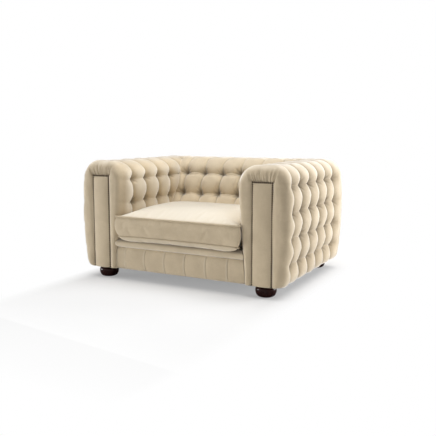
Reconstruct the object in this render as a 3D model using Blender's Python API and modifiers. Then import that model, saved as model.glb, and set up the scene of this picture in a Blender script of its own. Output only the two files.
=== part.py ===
"""Snuggle chair: a wide armchair with square-tufted arms and back and a loose box cushion.

Metres, +Z up, the front faces -Y, the floor is Z = 0 and the origin is under the middle.
"""
import math

import bmesh
import bpy
import numpy as np
from mathutils import Vector

# Overall sizes
SEAT_WIDTH = 0.800          # between the arms at their foot
ARM_WIDTH = 0.226           # one arm at its foot
ARM_OVERHANG_IN = 0.055     # the arm swells this far over the seat
ARM_OVERHANG_OUT = 0.0235   # and this far outward, most at half height
ARM_DEPTH = 0.918           # arm front to arm rear
CHAIR_HEIGHT = 0.672
SEAT_DEPTH = 0.565          # arm front to the back, at the top of the cushion
BACK_LEAN = math.radians(23.0)

# Tufting
COLUMN_PITCH_ARM = 0.134
COLUMN_PITCH_BACK = 0.128
FIRST_COLUMN = 0.105        # arm front to the first pleat
ROW_PITCH = 0.1286
TOP_ROW_DROP = 0.102        # chair top down to the first tuft row
TUFT_DEPTH = 0.040
PLEAT_DEPTH = 0.019
ROW_DEPTH = 0.009
TOP_PLEAT = 0.40            # share of the pleat left on the flat of the top

# Rounding of the padded forms
FRONT_ROUND = 0.050
REAR_ROUND = 0.060
ARM_ROUND_IN = 0.115
ARM_ROUND_OUT = 0.102
BACK_ROUND = 0.085
UNDER_ROLL = 0.026
UNDER_ROLL_HEIGHT = 0.046

# Seat
DECK_TOP = 0.240
DECK_THICKNESS = 0.025
CUSHION_SAG = 0.016         # lower seam above the deck
CUSHION_BOX = 0.116         # lower seam to upper seam
CUSHION_CROWN = 0.030
CUSHION_PROUD = 0.018       # cushion front ahead of the arm fronts
CUSHION_FLARE = 0.029       # each front corner spreads past the arm side
CUSHION_DRAW_IN = 0.005
CUSHION_SWELL = 0.010       # boxing bulge between its seams, at the front
CUSHION_CORNER = 0.020      # share by which the corners are drawn in
CUSHION_CELLS = 10
PIPING_RADIUS = 0.0042
LIP_HEIGHT = 0.045
BORDER_BACK = 0.004         # border face behind the arm front plane
BORDER_PLEAT = 0.006
BORDER_ROUND = 0.010
BORDER_FLARE = 0.012        # border and roll spread into the rounded arm fronts

# Frame timber
BOARD = 0.025
THIN_BOARD = 0.022
POST_WIDTH = 0.160
POST_INSET = 0.030          # arm front back to the front post
RAIL_TOP = 0.186
FRAME_TOP_DROP = 0.090      # chair top down to the timber
BACK_FRAME_BOARD = 0.028
BACK_FRAME_WIDTH = 0.056
BACK_FOAM = 0.115           # foam ahead of the sloped back frame
WEB_WIDTH = 0.060
WEB_THICKNESS = 0.002
WEB_COUNT = 4

# Springs
SPRING_COUNT = 6
SPRING_WIRE = 0.0036
SPRING_HALF_WIDTH = 0.024
SPRING_HALF_WAVES = 11
CLIP_WALL = 0.0012

# Feet
FOOT_HEIGHT = 0.060
FOOT_RADIUS = 0.0530
FOOT_SOLE_RADIUS = 0.034
FOOT_INSET = 0.068          # foot centre behind the arm front and ahead of the arm rear
BOLT_RADIUS = 0.004
BOLT_IN_FOOT = 0.036
BOLT_IN_BLOCK = 0.028
BLOCK_HEIGHT = 0.040
BLOCK_LENGTH = 0.085

# Outside back, facings and cover cloth
OUTBACK_THICKNESS = 0.014
OUTBACK_MARGIN = 0.062
FACING_WIDTH = 0.114
FACING_TOP = 0.589
FACING_THICKNESS = 0.008
NAIL_STRIP_RADIUS = 0.0042
COVER_THICKNESS = 0.0012
COVER_MARGIN = 0.030

# Clearances
GAP = 0.0003                # between pieces that rest on each other
SOFT_GAP = 0.002            # beside soft forms that only lie near

# Heights and planes that follow from the sizes
COVER_Z = FOOT_HEIGHT + GAP
BASE_Z = COVER_Z + COVER_THICKNESS + GAP
DECK_BOTTOM = DECK_TOP - DECK_THICKNESS
SEAM_LOW = DECK_TOP + CUSHION_SAG
SEAM_HIGH = SEAM_LOW + CUSHION_BOX
CUSHION_TOP = SEAM_HIGH + CUSHION_CROWN
TOP_ROW = CHAIR_HEIGHT - TOP_ROW_DROP
FRAME_TOP = CHAIR_HEIGHT - FRAME_TOP_DROP
FRONT_Y = CUSHION_PROUD - (CUSHION_PROUD + ARM_DEPTH + GAP + OUTBACK_THICKNESS) / 2
REAR_Y = FRONT_Y + ARM_DEPTH
ARM_FOOT_IN = SEAT_WIDTH / 2
ARM_FOOT_OUT = ARM_FOOT_IN + ARM_WIDTH
JOIN_X = ARM_FOOT_IN - 0.1 * ARM_OVERHANG_IN
BACK_HALF = JOIN_X - 2 * GAP
POST_IN = ARM_FOOT_IN + (ARM_WIDTH - POST_WIDTH) * 0.35
POST_OUT = POST_IN + POST_WIDTH
ARM_MIDDLE = ARM_FOOT_IN + 0.442 * ARM_WIDTH
POST_FRONT = FRONT_Y + POST_INSET
POST_REAR = REAR_Y - POST_INSET
BACK_BOTTOM = RAIL_TOP + 2 * GAP

STUFFS = {
    "velvet": ((0.47, 0.385, 0.27), 0.90, 0.0),
    "piping": ((0.45, 0.365, 0.255), 0.88, 0.0),
    "beech": ((0.56, 0.40, 0.24), 0.60, 0.0),
    "dark_wood": ((0.016, 0.005, 0.004), 0.22, 0.0),
    "steel": ((0.30, 0.30, 0.31), 0.38, 1.0),
    "bronze": ((0.055, 0.038, 0.026), 0.36, 1.0),
    "webbing": ((0.06, 0.055, 0.05), 0.85, 0.0),
    "deck_cloth": ((0.40, 0.33, 0.235), 0.92, 0.0),
    "cover_cloth": ((0.02, 0.02, 0.02), 0.95, 0.0),
}


# Scene, collections and materials
def clear_scene():
    for old in list(bpy.data.objects):
        bpy.data.objects.remove(old, do_unlink=True)


def new_collection(name):
    collection = bpy.data.collections.new(name)
    bpy.context.scene.collection.children.link(collection)
    return collection


def paint(obj, stuff):
    """Give the object its own Principled material with the values of its stuff."""
    colour, roughness, metallic = STUFFS[stuff]
    mat = bpy.data.materials.new(obj.name + "_material")
    mat.use_nodes = True
    shader = mat.node_tree.nodes["Principled BSDF"]
    shader.inputs["Base Color"].default_value = (*colour, 1.0)
    shader.inputs["Roughness"].default_value = roughness
    shader.inputs["Metallic"].default_value = metallic
    obj.data.materials.append(mat)


def add_part(name, data, stuff, location=(0, 0, 0), parent=None):
    obj = bpy.data.objects.new(name, data)
    obj.location = location
    obj.parent = parent
    PARTS.objects.link(obj)
    paint(obj, stuff)
    return obj


def add_empty(name, location, rotation=(0, 0, 0)):
    empty = bpy.data.objects.new(name, None)
    empty.location = location
    empty.rotation_euler = rotation
    PARTS.objects.link(empty)
    return empty


# Shape helpers
def mesh_from(bm, name):
    bmesh.ops.recalc_face_normals(bm, faces=bm.faces)
    mesh = bpy.data.meshes.new(name)
    bm.to_mesh(mesh)
    bm.free()
    return mesh


def box_mesh(name, size):
    bm = bmesh.new()
    bmesh.ops.create_cube(bm, size=1.0)
    bmesh.ops.scale(bm, vec=Vector(size), verts=bm.verts)
    return mesh_from(bm, name)


def bevel(obj, width, segments=1):
    mod = obj.modifiers.new("Bevel", "BEVEL")
    mod.width = width
    mod.segments = segments
    mod.limit_method = "ANGLE"
    mod.angle_limit = math.radians(40)


def board(name, low, high, stuff="beech", edge=0.0015, parent=None):
    """A straight board between two opposite corners, its edges eased."""
    low = Vector(low)
    high = Vector(high)
    obj = add_part(name, box_mesh(name, high - low), stuff, (low + high) / 2, parent)
    if edge:
        bevel(obj, edge)
    return obj


def cutter(name, mesh, location=(0, 0, 0)):
    obj = bpy.data.objects.new(name, mesh)
    obj.location = location
    obj.hide_render = True
    obj.display_type = "WIRE"
    CUTTERS.objects.link(obj)
    return obj


def box_cutter(name, low, high):
    low = Vector(low)
    high = Vector(high)
    return cutter(name, box_mesh(name, high - low), (low + high) / 2)


def cut(obj, tool):
    mod = obj.modifiers.new("Cut " + tool.name, "BOOLEAN")
    mod.operation = "DIFFERENCE"
    mod.solver = "EXACT"
    mod.object = tool


def turned(name, profile, steps, stuff, location):
    """A solid turned about its own Z axis from (radius, height) points."""
    bm = bmesh.new()
    verts = [bm.verts.new((radius, 0.0, height)) for radius, height in profile]
    for first, second in zip(verts[:-1], verts[1:]):
        bm.edges.new((first, second))
    mesh = bpy.data.meshes.new(name)
    bm.to_mesh(mesh)
    bm.free()
    obj = add_part(name, mesh, stuff, location)
    mod = obj.modifiers.new("Screw", "SCREW")
    mod.steps = steps
    mod.render_steps = steps
    mod.use_merge_vertices = True
    mod.merge_threshold = 0.00005
    mod.use_normal_calculate = True
    return obj


def tube(name, points, radius, stuff, location=(0, 0, 0), closed=False, resolution=1, parent=None):
    """A round cord or wire along a path of points."""
    curve = bpy.data.curves.new(name, "CURVE")
    curve.dimensions = "3D"
    curve.bevel_depth = radius
    curve.bevel_resolution = resolution
    curve.use_fill_caps = True
    spline = curve.splines.new("POLY")
    spline.points.add(len(points) - 1)
    flat = np.column_stack([np.asarray(points), np.ones(len(points))])
    spline.points.foreach_set("co", flat.ravel())
    spline.use_cyclic_u = closed
    return add_part(name, curve, stuff, location, parent)


def extruded_along_x(name, outline, length, stuff):
    """A flat (y, z) outline filled and drawn out along X, centred on X = 0."""
    curve = bpy.data.curves.new(name, "CURVE")
    curve.dimensions = "2D"
    curve.fill_mode = "BOTH"
    curve.extrude = length / 2
    spline = curve.splines.new("POLY")
    spline.points.add(len(outline) - 1)
    for point, (y, z) in zip(spline.points, outline):
        point.co = (y, z, 0.0, 1.0)
    spline.use_cyclic_u = True
    obj = add_part(name, curve, stuff)
    obj.rotation_euler = (math.pi / 2, 0.0, math.pi / 2)
    return obj


def tube_of_sections(name, points, stuff):
    """A closed body through an array of sections (stations, points around, xyz), its ends filled."""
    stations, around, _ = points.shape
    bm = bmesh.new()
    made = bmesh.ops.create_grid(bm, x_segments=stations - 1, y_segments=around, size=0.5)
    for index, vert in enumerate(made["verts"]):
        vert.co = points[index % stations, (index // stations) % around]
    bmesh.ops.remove_doubles(bm, verts=bm.verts, dist=0.00001)
    rim = [edge for edge in bm.edges if edge.is_boundary]
    bmesh.ops.holes_fill(bm, edges=rim, sides=0)
    return add_part(name, mesh_from(bm, name), stuff)


def crowned_panel(name, across, along, surface, back, stuff):
    """A padded panel: a grid raised by surface(u, v), its flat back at the plane y = back."""
    bm = bmesh.new()
    bmesh.ops.create_grid(bm, x_segments=across, y_segments=along, size=1.0)
    rear = bmesh.ops.extrude_face_region(bm, geom=bm.faces[:])
    moved = {v for v in rear["geom"] if isinstance(v, bmesh.types.BMVert)}
    for vert in bm.verts:
        x, y, z = surface(vert.co.x, vert.co.y)
        vert.co = (x, back if vert in moved else y, z)
    return add_part(name, mesh_from(bm, name), stuff)


# Curves shared by the padded forms
def smoothstep(value):
    value = np.clip(value, 0.0, 1.0)
    return value * value * (3.0 - 2.0 * value)


def crease(share):
    """1 in the fold, 0 at the middle of the puff, round between them."""
    return 1.0 - np.sqrt(np.clip(1.0 - (1.0 - 2.0 * share) ** 2, 0.0, 1.0))


def nearest(values, lines, pitch):
    """Distance to the nearest line as a share of the pitch, at most one half."""
    gaps = np.abs(np.subtract.outer(values, np.asarray(lines)))
    return np.minimum(gaps.min(axis=1) / pitch, 0.5)


def tuft_depth(column_share, row_share, row_fade):
    """How far the cover is drawn in, from the distances to the nearest pleat and tuft row."""
    fold = crease(column_share)[:, None]
    pinch = (1.0 - 2.0 * row_share)[None, :] ** 2
    pleat = PLEAT_DEPTH + (TUFT_DEPTH - PLEAT_DEPTH) * pinch
    valley = ROW_DEPTH * crease(row_share)[None, :] * row_fade[:, None]
    return pleat * fold + valley * (1.0 - fold)


def tuft_rows(lowest):
    rows = [TOP_ROW]
    while rows[-1] - ROW_PITCH > lowest:
        rows.append(rows[-1] - ROW_PITCH)
    return rows


def spaced(knots, counts):
    """Levels from knot to knot, each stretch split into its own number of steps."""
    parts = [np.linspace(a, b, n + 1)[:-1] for a, b, n in zip(knots[:-1], knots[1:], counts)]
    return np.concatenate(parts + [[knots[-1]]])


def pleat_stations(lines):
    """Four steps from each pleat to the next."""
    steps = [np.linspace(a, b, 5)[:-1] for a, b in zip(lines[:-1], lines[1:])]
    return np.concatenate(steps + [[lines[-1]]])


def outward(across, up):
    """Unit normals of open profiles that run clockwise, left foot to right foot."""
    run = np.gradient(across, axis=-1)
    rise = np.gradient(up, axis=-1)
    size = np.hypot(run, rise)
    return -rise / size, run / size


# Outlines of the arms and back
def arm_inner_x(z):
    return ARM_FOOT_IN - ARM_OVERHANG_IN * smoothstep((z - BASE_Z) / (TOP_ROW - BASE_Z))


def arm_outer_x(z):
    under = np.clip(1.0 - (z - BASE_Z) / UNDER_ROLL_HEIGHT, 0.0, 1.0)
    roll = UNDER_ROLL * (1.0 - np.sqrt(1.0 - under ** 2))
    swell = np.sin(0.8 * math.pi * np.clip((z - BASE_Z) / (TOP_ROW - BASE_Z), 0.0, 1.0))
    return ARM_FOOT_OUT + ARM_OVERHANG_OUT * swell - roll


def back_front_y(z):
    """The crown line of the sloped inside back, up to the first tuft row and over its roll."""
    slope = np.minimum(z, TOP_ROW) - CUSHION_TOP
    rise = np.clip((z - TOP_ROW) / TOP_ROW_DROP, 0.0, 1.0)
    roll = rise * TOP_ROW_DROP * math.tan(BACK_LEAN) + BACK_ROUND * (1.0 - np.sqrt(1.0 - rise ** 2))
    return FRONT_Y + SEAT_DEPTH + slope * math.tan(BACK_LEAN) + roll


def arm_columns():
    count = int((ARM_DEPTH - FIRST_COLUMN - 0.7 * COLUMN_PITCH_ARM) / COLUMN_PITCH_ARM) + 1
    return FRONT_Y + FIRST_COLUMN + COLUMN_PITCH_ARM * np.arange(count)


def back_columns():
    count = int((2 * BACK_HALF - 0.8 * COLUMN_PITCH_BACK) / COLUMN_PITCH_BACK) + 1
    return COLUMN_PITCH_BACK * (np.arange(count) - (count - 1) / 2)


def arm_stations(lines):
    """Positions along the arm with how far the section shrinks at the rounded ends."""
    turn = np.radians([0, 24, 46, 68, 90])
    front = FRONT_Y + FRONT_ROUND * (1.0 - np.cos(turn))
    rear = REAR_Y - REAR_ROUND * (1.0 - np.cos(turn[::-1]))
    lead = [(front[-1] + 2 * lines[0]) / 3]
    tail = [lines[-1] + 0.3 * (rear[0] - lines[-1])]
    middle = pleat_stations(lines)
    stations = np.concatenate([front, lead, middle, tail, rear])
    shrink = np.zeros(len(stations))
    shrink[:len(turn)] = FRONT_ROUND * (1.0 - np.sin(turn))
    shrink[-len(turn):] = REAR_ROUND * (1.0 - np.sin(turn[::-1]))
    return stations, shrink


def arm_points():
    """Sections of the right arm pad from front to rear, tufts and pleats drawn in."""
    lines = arm_columns()
    y, shrink = arm_stations(lines)
    inside_rows = tuft_rows(CUSHION_TOP)
    outside_rows = tuft_rows(BASE_Z + 0.6 * ROW_PITCH)

    knots = [BASE_Z, RAIL_TOP + 4 * GAP] + inside_rows[::-1]
    inner_z = spaced(knots, [1, 3] + [3] * (len(inside_rows) - 1))
    under = [BASE_Z, BASE_Z + 0.25 * UNDER_ROLL_HEIGHT, BASE_Z + UNDER_ROLL_HEIGHT]
    outer_z = spaced(under + outside_rows[::-1], [1, 1, 1] + [3] * (len(outside_rows) - 1))[::-1]
    turn = np.radians([25, 52, 90])

    inner_x = arm_inner_x(inner_z)
    outer_x = arm_outer_x(outer_z)
    left_top = inner_x[-1] + ARM_ROUND_IN * (1.0 - np.cos(turn))
    right_top = outer_x[0] - ARM_ROUND_OUT * (1.0 - np.cos(turn))
    top_z = TOP_ROW + TOP_ROW_DROP * np.sin(turn)
    seat_x = np.concatenate([inner_x, left_top, right_top[::-1], outer_x])
    seat_z = np.concatenate([inner_z, top_z, top_z[::-1], outer_z])

    # Behind the inside corner the arm is flat, where the back butts against it
    joint_top = JOIN_X + 0.15 * ARM_ROUND_IN * (1.0 - np.cos(turn))
    square_z = TOP_ROW + TOP_ROW_DROP * np.sin(turn) ** 0.25
    join_x = np.concatenate([np.full(len(inner_z), JOIN_X), joint_top, right_top[::-1], outer_x])
    join_z = np.concatenate([inner_z, square_z, top_z[::-1], outer_z])
    corner = back_front_y(seat_z)
    blend = smoothstep((y[:, None] - corner[None, :] + 0.45 * COLUMN_PITCH_ARM)
                       / (0.40 * COLUMN_PITCH_ARM))
    x = seat_x + (join_x - seat_x) * blend
    z = seat_z + (join_z - seat_z) * blend

    length = np.concatenate([[0.0], np.cumsum(np.hypot(np.diff(seat_x), np.diff(seat_z)))])
    inner = np.arange(len(seat_x)) < len(inner_z) + len(turn)
    inside_marks = np.interp(inside_rows[::-1], inner_z, length[:len(inner_z)])
    outside_marks = np.interp(outside_rows, outer_z[::-1], length[-len(outer_z):][::-1])
    row_share = np.where(inner, nearest(length, inside_marks, ROW_PITCH),
                         nearest(length, outside_marks, ROW_PITCH))
    sink = smoothstep((seat_z - DECK_TOP) / (inside_rows[-1] - DECK_TOP))
    over = 1.0 - (1.0 - TOP_PLEAT) * smoothstep((seat_z - TOP_ROW) / TOP_ROW_DROP)
    strength = np.where(inner, sink, 1.0) * over

    beyond = np.maximum(0.0, np.maximum(lines[0] - y, y - lines[-1]))
    fade = np.clip(1.0 - beyond / (0.5 * COLUMN_PITCH_ARM), 0.0, 1.0)
    depth = tuft_depth(nearest(y, lines, COLUMN_PITCH_ARM), row_share, fade) * strength
    depth = np.where(inner[None, :], depth * (1.0 - blend), depth) + shrink[:, None]

    nx, nz = outward(x, z)
    x = x - nx * depth
    z = np.maximum(z - nz * depth, BASE_Z)
    z[:, 0] = BASE_Z
    z[:, -1] = BASE_Z
    return np.stack([x, np.broadcast_to(y[:, None], x.shape), z], axis=-1)


def back_points():
    """Sections of the back pad from left to right, tufts and pleats drawn in."""
    lines = back_columns()
    ends = np.concatenate([[-BACK_HALF], lines, [BACK_HALF]])
    left = np.linspace(-BACK_HALF, lines[0], 4)[:-1]
    x = np.concatenate([left, pleat_stations(lines), -left[::-1]])
    rows = tuft_rows(CUSHION_TOP)

    knots = [BACK_BOTTOM, DECK_TOP] + rows[::-1]
    face_z = spaced(knots, [1, 3] + [3] * (len(rows) - 1))
    turn = np.radians([25, 52, 90])
    rise_z = TOP_ROW + TOP_ROW_DROP * np.sin(turn)
    over_turn = np.radians([0, 35, 65])
    over_y = REAR_Y - REAR_ROUND * (1.0 - np.sin(over_turn))
    over_z = CHAIR_HEIGHT - REAR_ROUND * (1.0 - np.cos(over_turn))
    y = np.concatenate([back_front_y(face_z), back_front_y(rise_z), over_y, [REAR_Y, REAR_Y]])
    z = np.concatenate([face_z, rise_z, over_z, [CHAIR_HEIGHT - REAR_ROUND, BACK_BOTTOM]])

    length = np.concatenate([[0.0], np.cumsum(np.hypot(np.diff(y), np.diff(z)))])
    marks = np.interp(rows[::-1], face_z, length[:len(face_z)])
    row_share = nearest(length, marks, ROW_PITCH)
    sink = smoothstep((z - DECK_TOP) / (rows[-1] - DECK_TOP))
    over = 1.0 - (1.0 - TOP_PLEAT) * smoothstep((z - TOP_ROW) / TOP_ROW_DROP)
    behind = smoothstep((REAR_Y - y) / (2.0 * REAR_ROUND))
    strength = sink * over * behind
    depth = tuft_depth(nearest(x, ends, COLUMN_PITCH_BACK), row_share, np.ones(len(x))) * strength

    ny, nz = outward(y, z)
    y = y - ny * depth
    z = np.broadcast_to(z, depth.shape) - nz * depth
    z[:, 0] = BACK_BOTTOM
    return np.stack([np.broadcast_to(x[:, None], y.shape), y, z], axis=-1)


# Upholstered pieces
def build_arms():
    points = arm_points()
    for side, sign in (("left", -1.0), ("right", 1.0)):
        pad = tube_of_sections(side + "_arm_pad", points * np.array([sign, 1.0, 1.0]), "velvet")
        inside = sorted((sign * (POST_IN - GAP), sign * (POST_OUT + GAP)))
        hollow = box_cutter(side + "_arm_hollow", (inside[0], POST_FRONT - GAP, 0.0),
                            (inside[1], POST_REAR + GAP, FRAME_TOP + GAP))
        cut(pad, hollow)
        slot = sorted((sign * 0.5 * SEAT_WIDTH * 0.8, sign * (POST_IN + 0.002)))
        rails_way = box_cutter(side + "_arm_rail_way", (slot[0], POST_FRONT - GAP, 0.0),
                               (slot[1], REAR_Y + 0.1, RAIL_TOP + GAP))
        cut(pad, rails_way)


def back_frame_start():
    """The foot of the sloped frame plane, behind the foam of the back."""
    foot = BACK_BOTTOM + (BACK_FRAME_BOARD + WEB_THICKNESS + 3 * GAP) * math.sin(BACK_LEAN)
    return back_front_y(foot) + BACK_FOAM, foot


def build_back():
    pad = tube_of_sections("back_pad", back_points(), "velvet")
    start_y, start_z = back_frame_start()
    slope = math.tan(BACK_LEAN)
    low = start_z - 0.05
    outline = [(start_y - 0.05 * slope, low), (start_y + (FRAME_TOP - start_z) * slope, FRAME_TOP),
               (REAR_Y + 0.05, FRAME_TOP), (REAR_Y + 0.05, low)]
    hollow = extruded_along_x("back_hollow", outline, 2 * (BACK_HALF - THIN_BOARD), "velvet")
    PARTS.objects.unlink(hollow)
    mesh = bpy.data.meshes.new_from_object(hollow)
    mesh.transform(hollow.rotation_euler.to_matrix().to_4x4())
    bpy.data.objects.remove(hollow, do_unlink=True)
    cut(pad, cutter("back_hollow", mesh))


def build_facings():
    """A crowned panel and its nail strip on each arm front."""
    half = FACING_WIDTH / 2
    middle_z = (BASE_Z + FACING_TOP) / 2
    half_z = (FACING_TOP - BASE_Z) / 2
    plane = FRONT_Y - GAP
    for side, sign in (("left", -1.0), ("right", 1.0)):
        centre = sign * ARM_MIDDLE

        def surface(u, v, centre=centre):
            swell = (1.0 - u ** 4) * (1.0 - max(v, 0.0) ** 12)
            y = plane - FACING_THICKNESS * (0.45 + 0.55 * swell)
            return centre + half * u, y, middle_z + half_z * v

        crowned_panel(side + "_arm_facing", 6, 10, surface, plane, "velvet")
        edge = half - 0.5 * NAIL_STRIP_RADIUS
        top = FACING_TOP - 0.5 * NAIL_STRIP_RADIUS
        ease = 1.5 * NAIL_STRIP_RADIUS
        y = plane - 0.5 * FACING_THICKNESS - 0.95 * NAIL_STRIP_RADIUS - GAP
        path = [(centre - edge, y, BASE_Z), (centre - edge, y, top - ease), (centre - edge + ease, y, top),
                (centre + edge - ease, y, top), (centre + edge, y, top - ease), (centre + edge, y, BASE_Z)]
        tube(side + "_arm_nail_strip", path, NAIL_STRIP_RADIUS, "bronze")


def build_front():
    """The pleated border, the roll above it and the deck that carries the cushion."""
    lines = back_columns()
    half = float(arm_inner_x(RAIL_TOP)) - SOFT_GAP
    ends = np.concatenate([[-half], lines, [half]])
    left = np.linspace(-half, lines[0], 4)[:-1]
    x = np.concatenate([left, pleat_stations(lines), -left[::-1]])
    face = FRONT_Y + BORDER_BACK
    rear = POST_FRONT - GAP
    top = RAIL_TOP - GAP
    rise = np.array([0.0, 0.07, 0.24, 0.5, 0.84, 0.96, 1.0, 1.0, 0.0])
    z = BASE_Z + (top - BASE_Z) * rise
    round_off = np.array([1.0, 0.3, 0.0, -0.1, 0.0, 0.3, 1.0])
    y = np.concatenate([face + BORDER_ROUND * round_off, [rear, rear]])
    front = np.array([1.0, 1.0, 1.0, 1.0, 1.0, 1.0, 0.6, 0.0, 0.0])
    depth = BORDER_PLEAT * crease(nearest(x, ends, COLUMN_PITCH_BACK))[:, None] * front[None, :]
    spread = 1.0 + BORDER_FLARE / half * front
    points = np.stack([x[:, None] * spread, y + depth, np.broadcast_to(z, depth.shape)], axis=-1)
    tube_of_sections("front_border", points, "velvet")

    turn = np.radians(np.linspace(-90, 90, 9))
    lip_low = RAIL_TOP + GAP
    lip_half = LIP_HEIGHT / 2
    lip_front = FRONT_Y - 0.002
    lip_rear = POST_FRONT + BOARD + 0.01
    round_y = lip_front + lip_half * (1.0 - np.cos(turn))
    lip_y = np.concatenate([round_y, [POST_FRONT, lip_rear, lip_rear, POST_FRONT]])
    lip_high = lip_low + LIP_HEIGHT
    round_z = lip_low + lip_half * (1.0 + np.sin(turn))
    lip_z = np.concatenate([round_z, [lip_high, lip_high, lip_low, lip_low]])
    lip_x = float(arm_inner_x(lip_high)) - SOFT_GAP
    lip_x = lip_x + BORDER_FLARE * np.clip((POST_FRONT - lip_y) / POST_INSET, 0.0, 1.0)
    lip = np.stack([np.column_stack([sign * lip_x, lip_y, lip_z]) for sign in (-1.0, -0.33, 0.33, 1.0)])
    tube_of_sections("front_lip", lip, "velvet")

    deck_half = float(arm_inner_x(DECK_TOP)) - SOFT_GAP
    deck_rear = float(back_front_y(DECK_BOTTOM)) - SOFT_GAP
    low = (-deck_half, lip_rear + GAP, DECK_BOTTOM)
    board("seat_deck", low, (deck_half, deck_rear, DECK_TOP), "deck_cloth", 0.006)


def build_outside():
    """The plain outside back panel and the cover cloth under the frame."""
    low = BASE_Z + 0.004
    high = CHAIR_HEIGHT - OUTBACK_MARGIN
    plane = REAR_Y + GAP

    def surface(u, v):
        swell = (1.0 - u ** 6) * (1.0 - v ** 6)
        z = (low + high) / 2 + (high - low) / 2 * v
        half = float(arm_outer_x(max(z, BASE_Z + UNDER_ROLL_HEIGHT))) - OUTBACK_MARGIN
        return half * u, plane + OUTBACK_THICKNESS * (0.4 + 0.6 * swell), z

    crowned_panel("outside_back_panel", 10, 6, surface, plane, "velvet")
    cover_half = ARM_FOOT_OUT - COVER_MARGIN
    cover = board("dust_cover", (-cover_half, FRONT_Y + COVER_MARGIN, COVER_Z),
                  (cover_half, REAR_Y - COVER_MARGIN, COVER_Z + COVER_THICKNESS), "cover_cloth", 0)
    for name, x, y in foot_places():
        cut(cover, round_cutter(name + "_cover_hole", BOLT_RADIUS + 0.001, (x, y, COVER_Z), 0.02))


# Loose seat cushion
def cushion_plan(a, b, share):
    """Plan position for a, b in -1..1 at a height share 0 (lower seam) to 1 (upper seam)."""
    a = np.sin(0.5 * math.pi * a)
    b = np.sin(0.5 * math.pi * b)
    half = float(arm_inner_x(SEAM_HIGH)) - SOFT_GAP - PIPING_RADIUS * 2 - GAP
    level = SEAM_LOW + CUSHION_BOX * share
    front = FRONT_Y - CUSHION_PROUD + PIPING_RADIUS * 2 + GAP
    rear = back_front_y(level) - SOFT_GAP - PIPING_RADIUS * 2 - GAP
    y = front + (rear - front) * (0.5 + 0.5 * b * (1.0 - CUSHION_CORNER * np.abs(a) ** 24))
    ahead = (FRONT_Y + 0.35 * FRONT_ROUND - y) / (0.45 * FRONT_ROUND)
    width = half + CUSHION_FLARE * smoothstep(ahead) - CUSHION_DRAW_IN * (1.0 - b * b)
    x = a * width * (1.0 - CUSHION_CORNER * np.abs(b) ** 16)
    return x, y + CUSHION_DRAW_IN * (1.0 - a * a) * np.clip(-b, 0.0, 1.0) ** 8


def seam_path(share, offset):
    """Closed path round the cushion at a seam, moved outward by the offset."""
    side = np.linspace(-1.0, 1.0, CUSHION_CELLS + 1)[:-1]
    one = np.ones(CUSHION_CELLS)
    a = np.concatenate([side, one, -side, -one])
    b = np.concatenate([-one, side, one, -side])
    plan = np.column_stack(cushion_plan(a, b, share))
    run = np.roll(plan, -1, axis=0) - plan
    normal = np.column_stack([run[:, 1], -run[:, 0]]) / np.hypot(run[:, 0], run[:, 1])[:, None]
    before = np.roll(normal, 1, axis=0)
    spread = 1.0 + np.sum(normal * before, axis=1, keepdims=True)
    plan = plan + (normal + before) / spread * offset
    return np.column_stack([plan, np.full(len(plan), SEAM_LOW + CUSHION_BOX * share)])


def build_cushion():
    slide = add_empty("cushion_slide", (0.0, 0.0, DECK_TOP))
    bm = bmesh.new()
    bmesh.ops.create_cube(bm, size=2.0)
    bmesh.ops.subdivide_edges(bm, edges=bm.edges[:], cuts=CUSHION_CELLS - 1, use_grid_fill=True)
    a, b, c = np.array([v.co[:] for v in bm.verts]).T
    share = c * 0.5 + 0.5
    x, y = cushion_plan(a, b, share)
    boxing = np.where(np.abs(c) < 0.999, np.sin(math.pi * share), 0.0)
    x = x + np.sign(a) * (np.abs(a) > 0.999) * boxing * CUSHION_SWELL * 0.5
    swell = np.where(b < 0.0, CUSHION_SWELL, 0.3 * CUSHION_SWELL)
    y = y + np.sign(b) * (np.abs(b) > 0.999) * boxing * swell
    dome = np.cos(0.5 * math.pi * a ** 3) * np.cos(0.5 * math.pi * b ** 3)
    z = SEAM_LOW + CUSHION_BOX * share
    z = np.where(c > 0.999, z + CUSHION_CROWN * dome, z)
    z = np.where(c < -0.999, z - (CUSHION_SAG - GAP) * np.minimum(dome * 1.3, 1.0), z)
    for vert, place in zip(bm.verts, np.column_stack([x, y, z - DECK_TOP])):
        vert.co = place
    add_part("seat_cushion", mesh_from(bm, "seat_cushion"), "velvet", parent=slide)
    for name, share in (("cushion_piping_top", 1.0), ("cushion_piping_bottom", 0.0)):
        path = seam_path(share, PIPING_RADIUS + GAP)
        path[:, 2] -= DECK_TOP
        tube(name, path, PIPING_RADIUS, "piping", closed=True, parent=slide)


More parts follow.
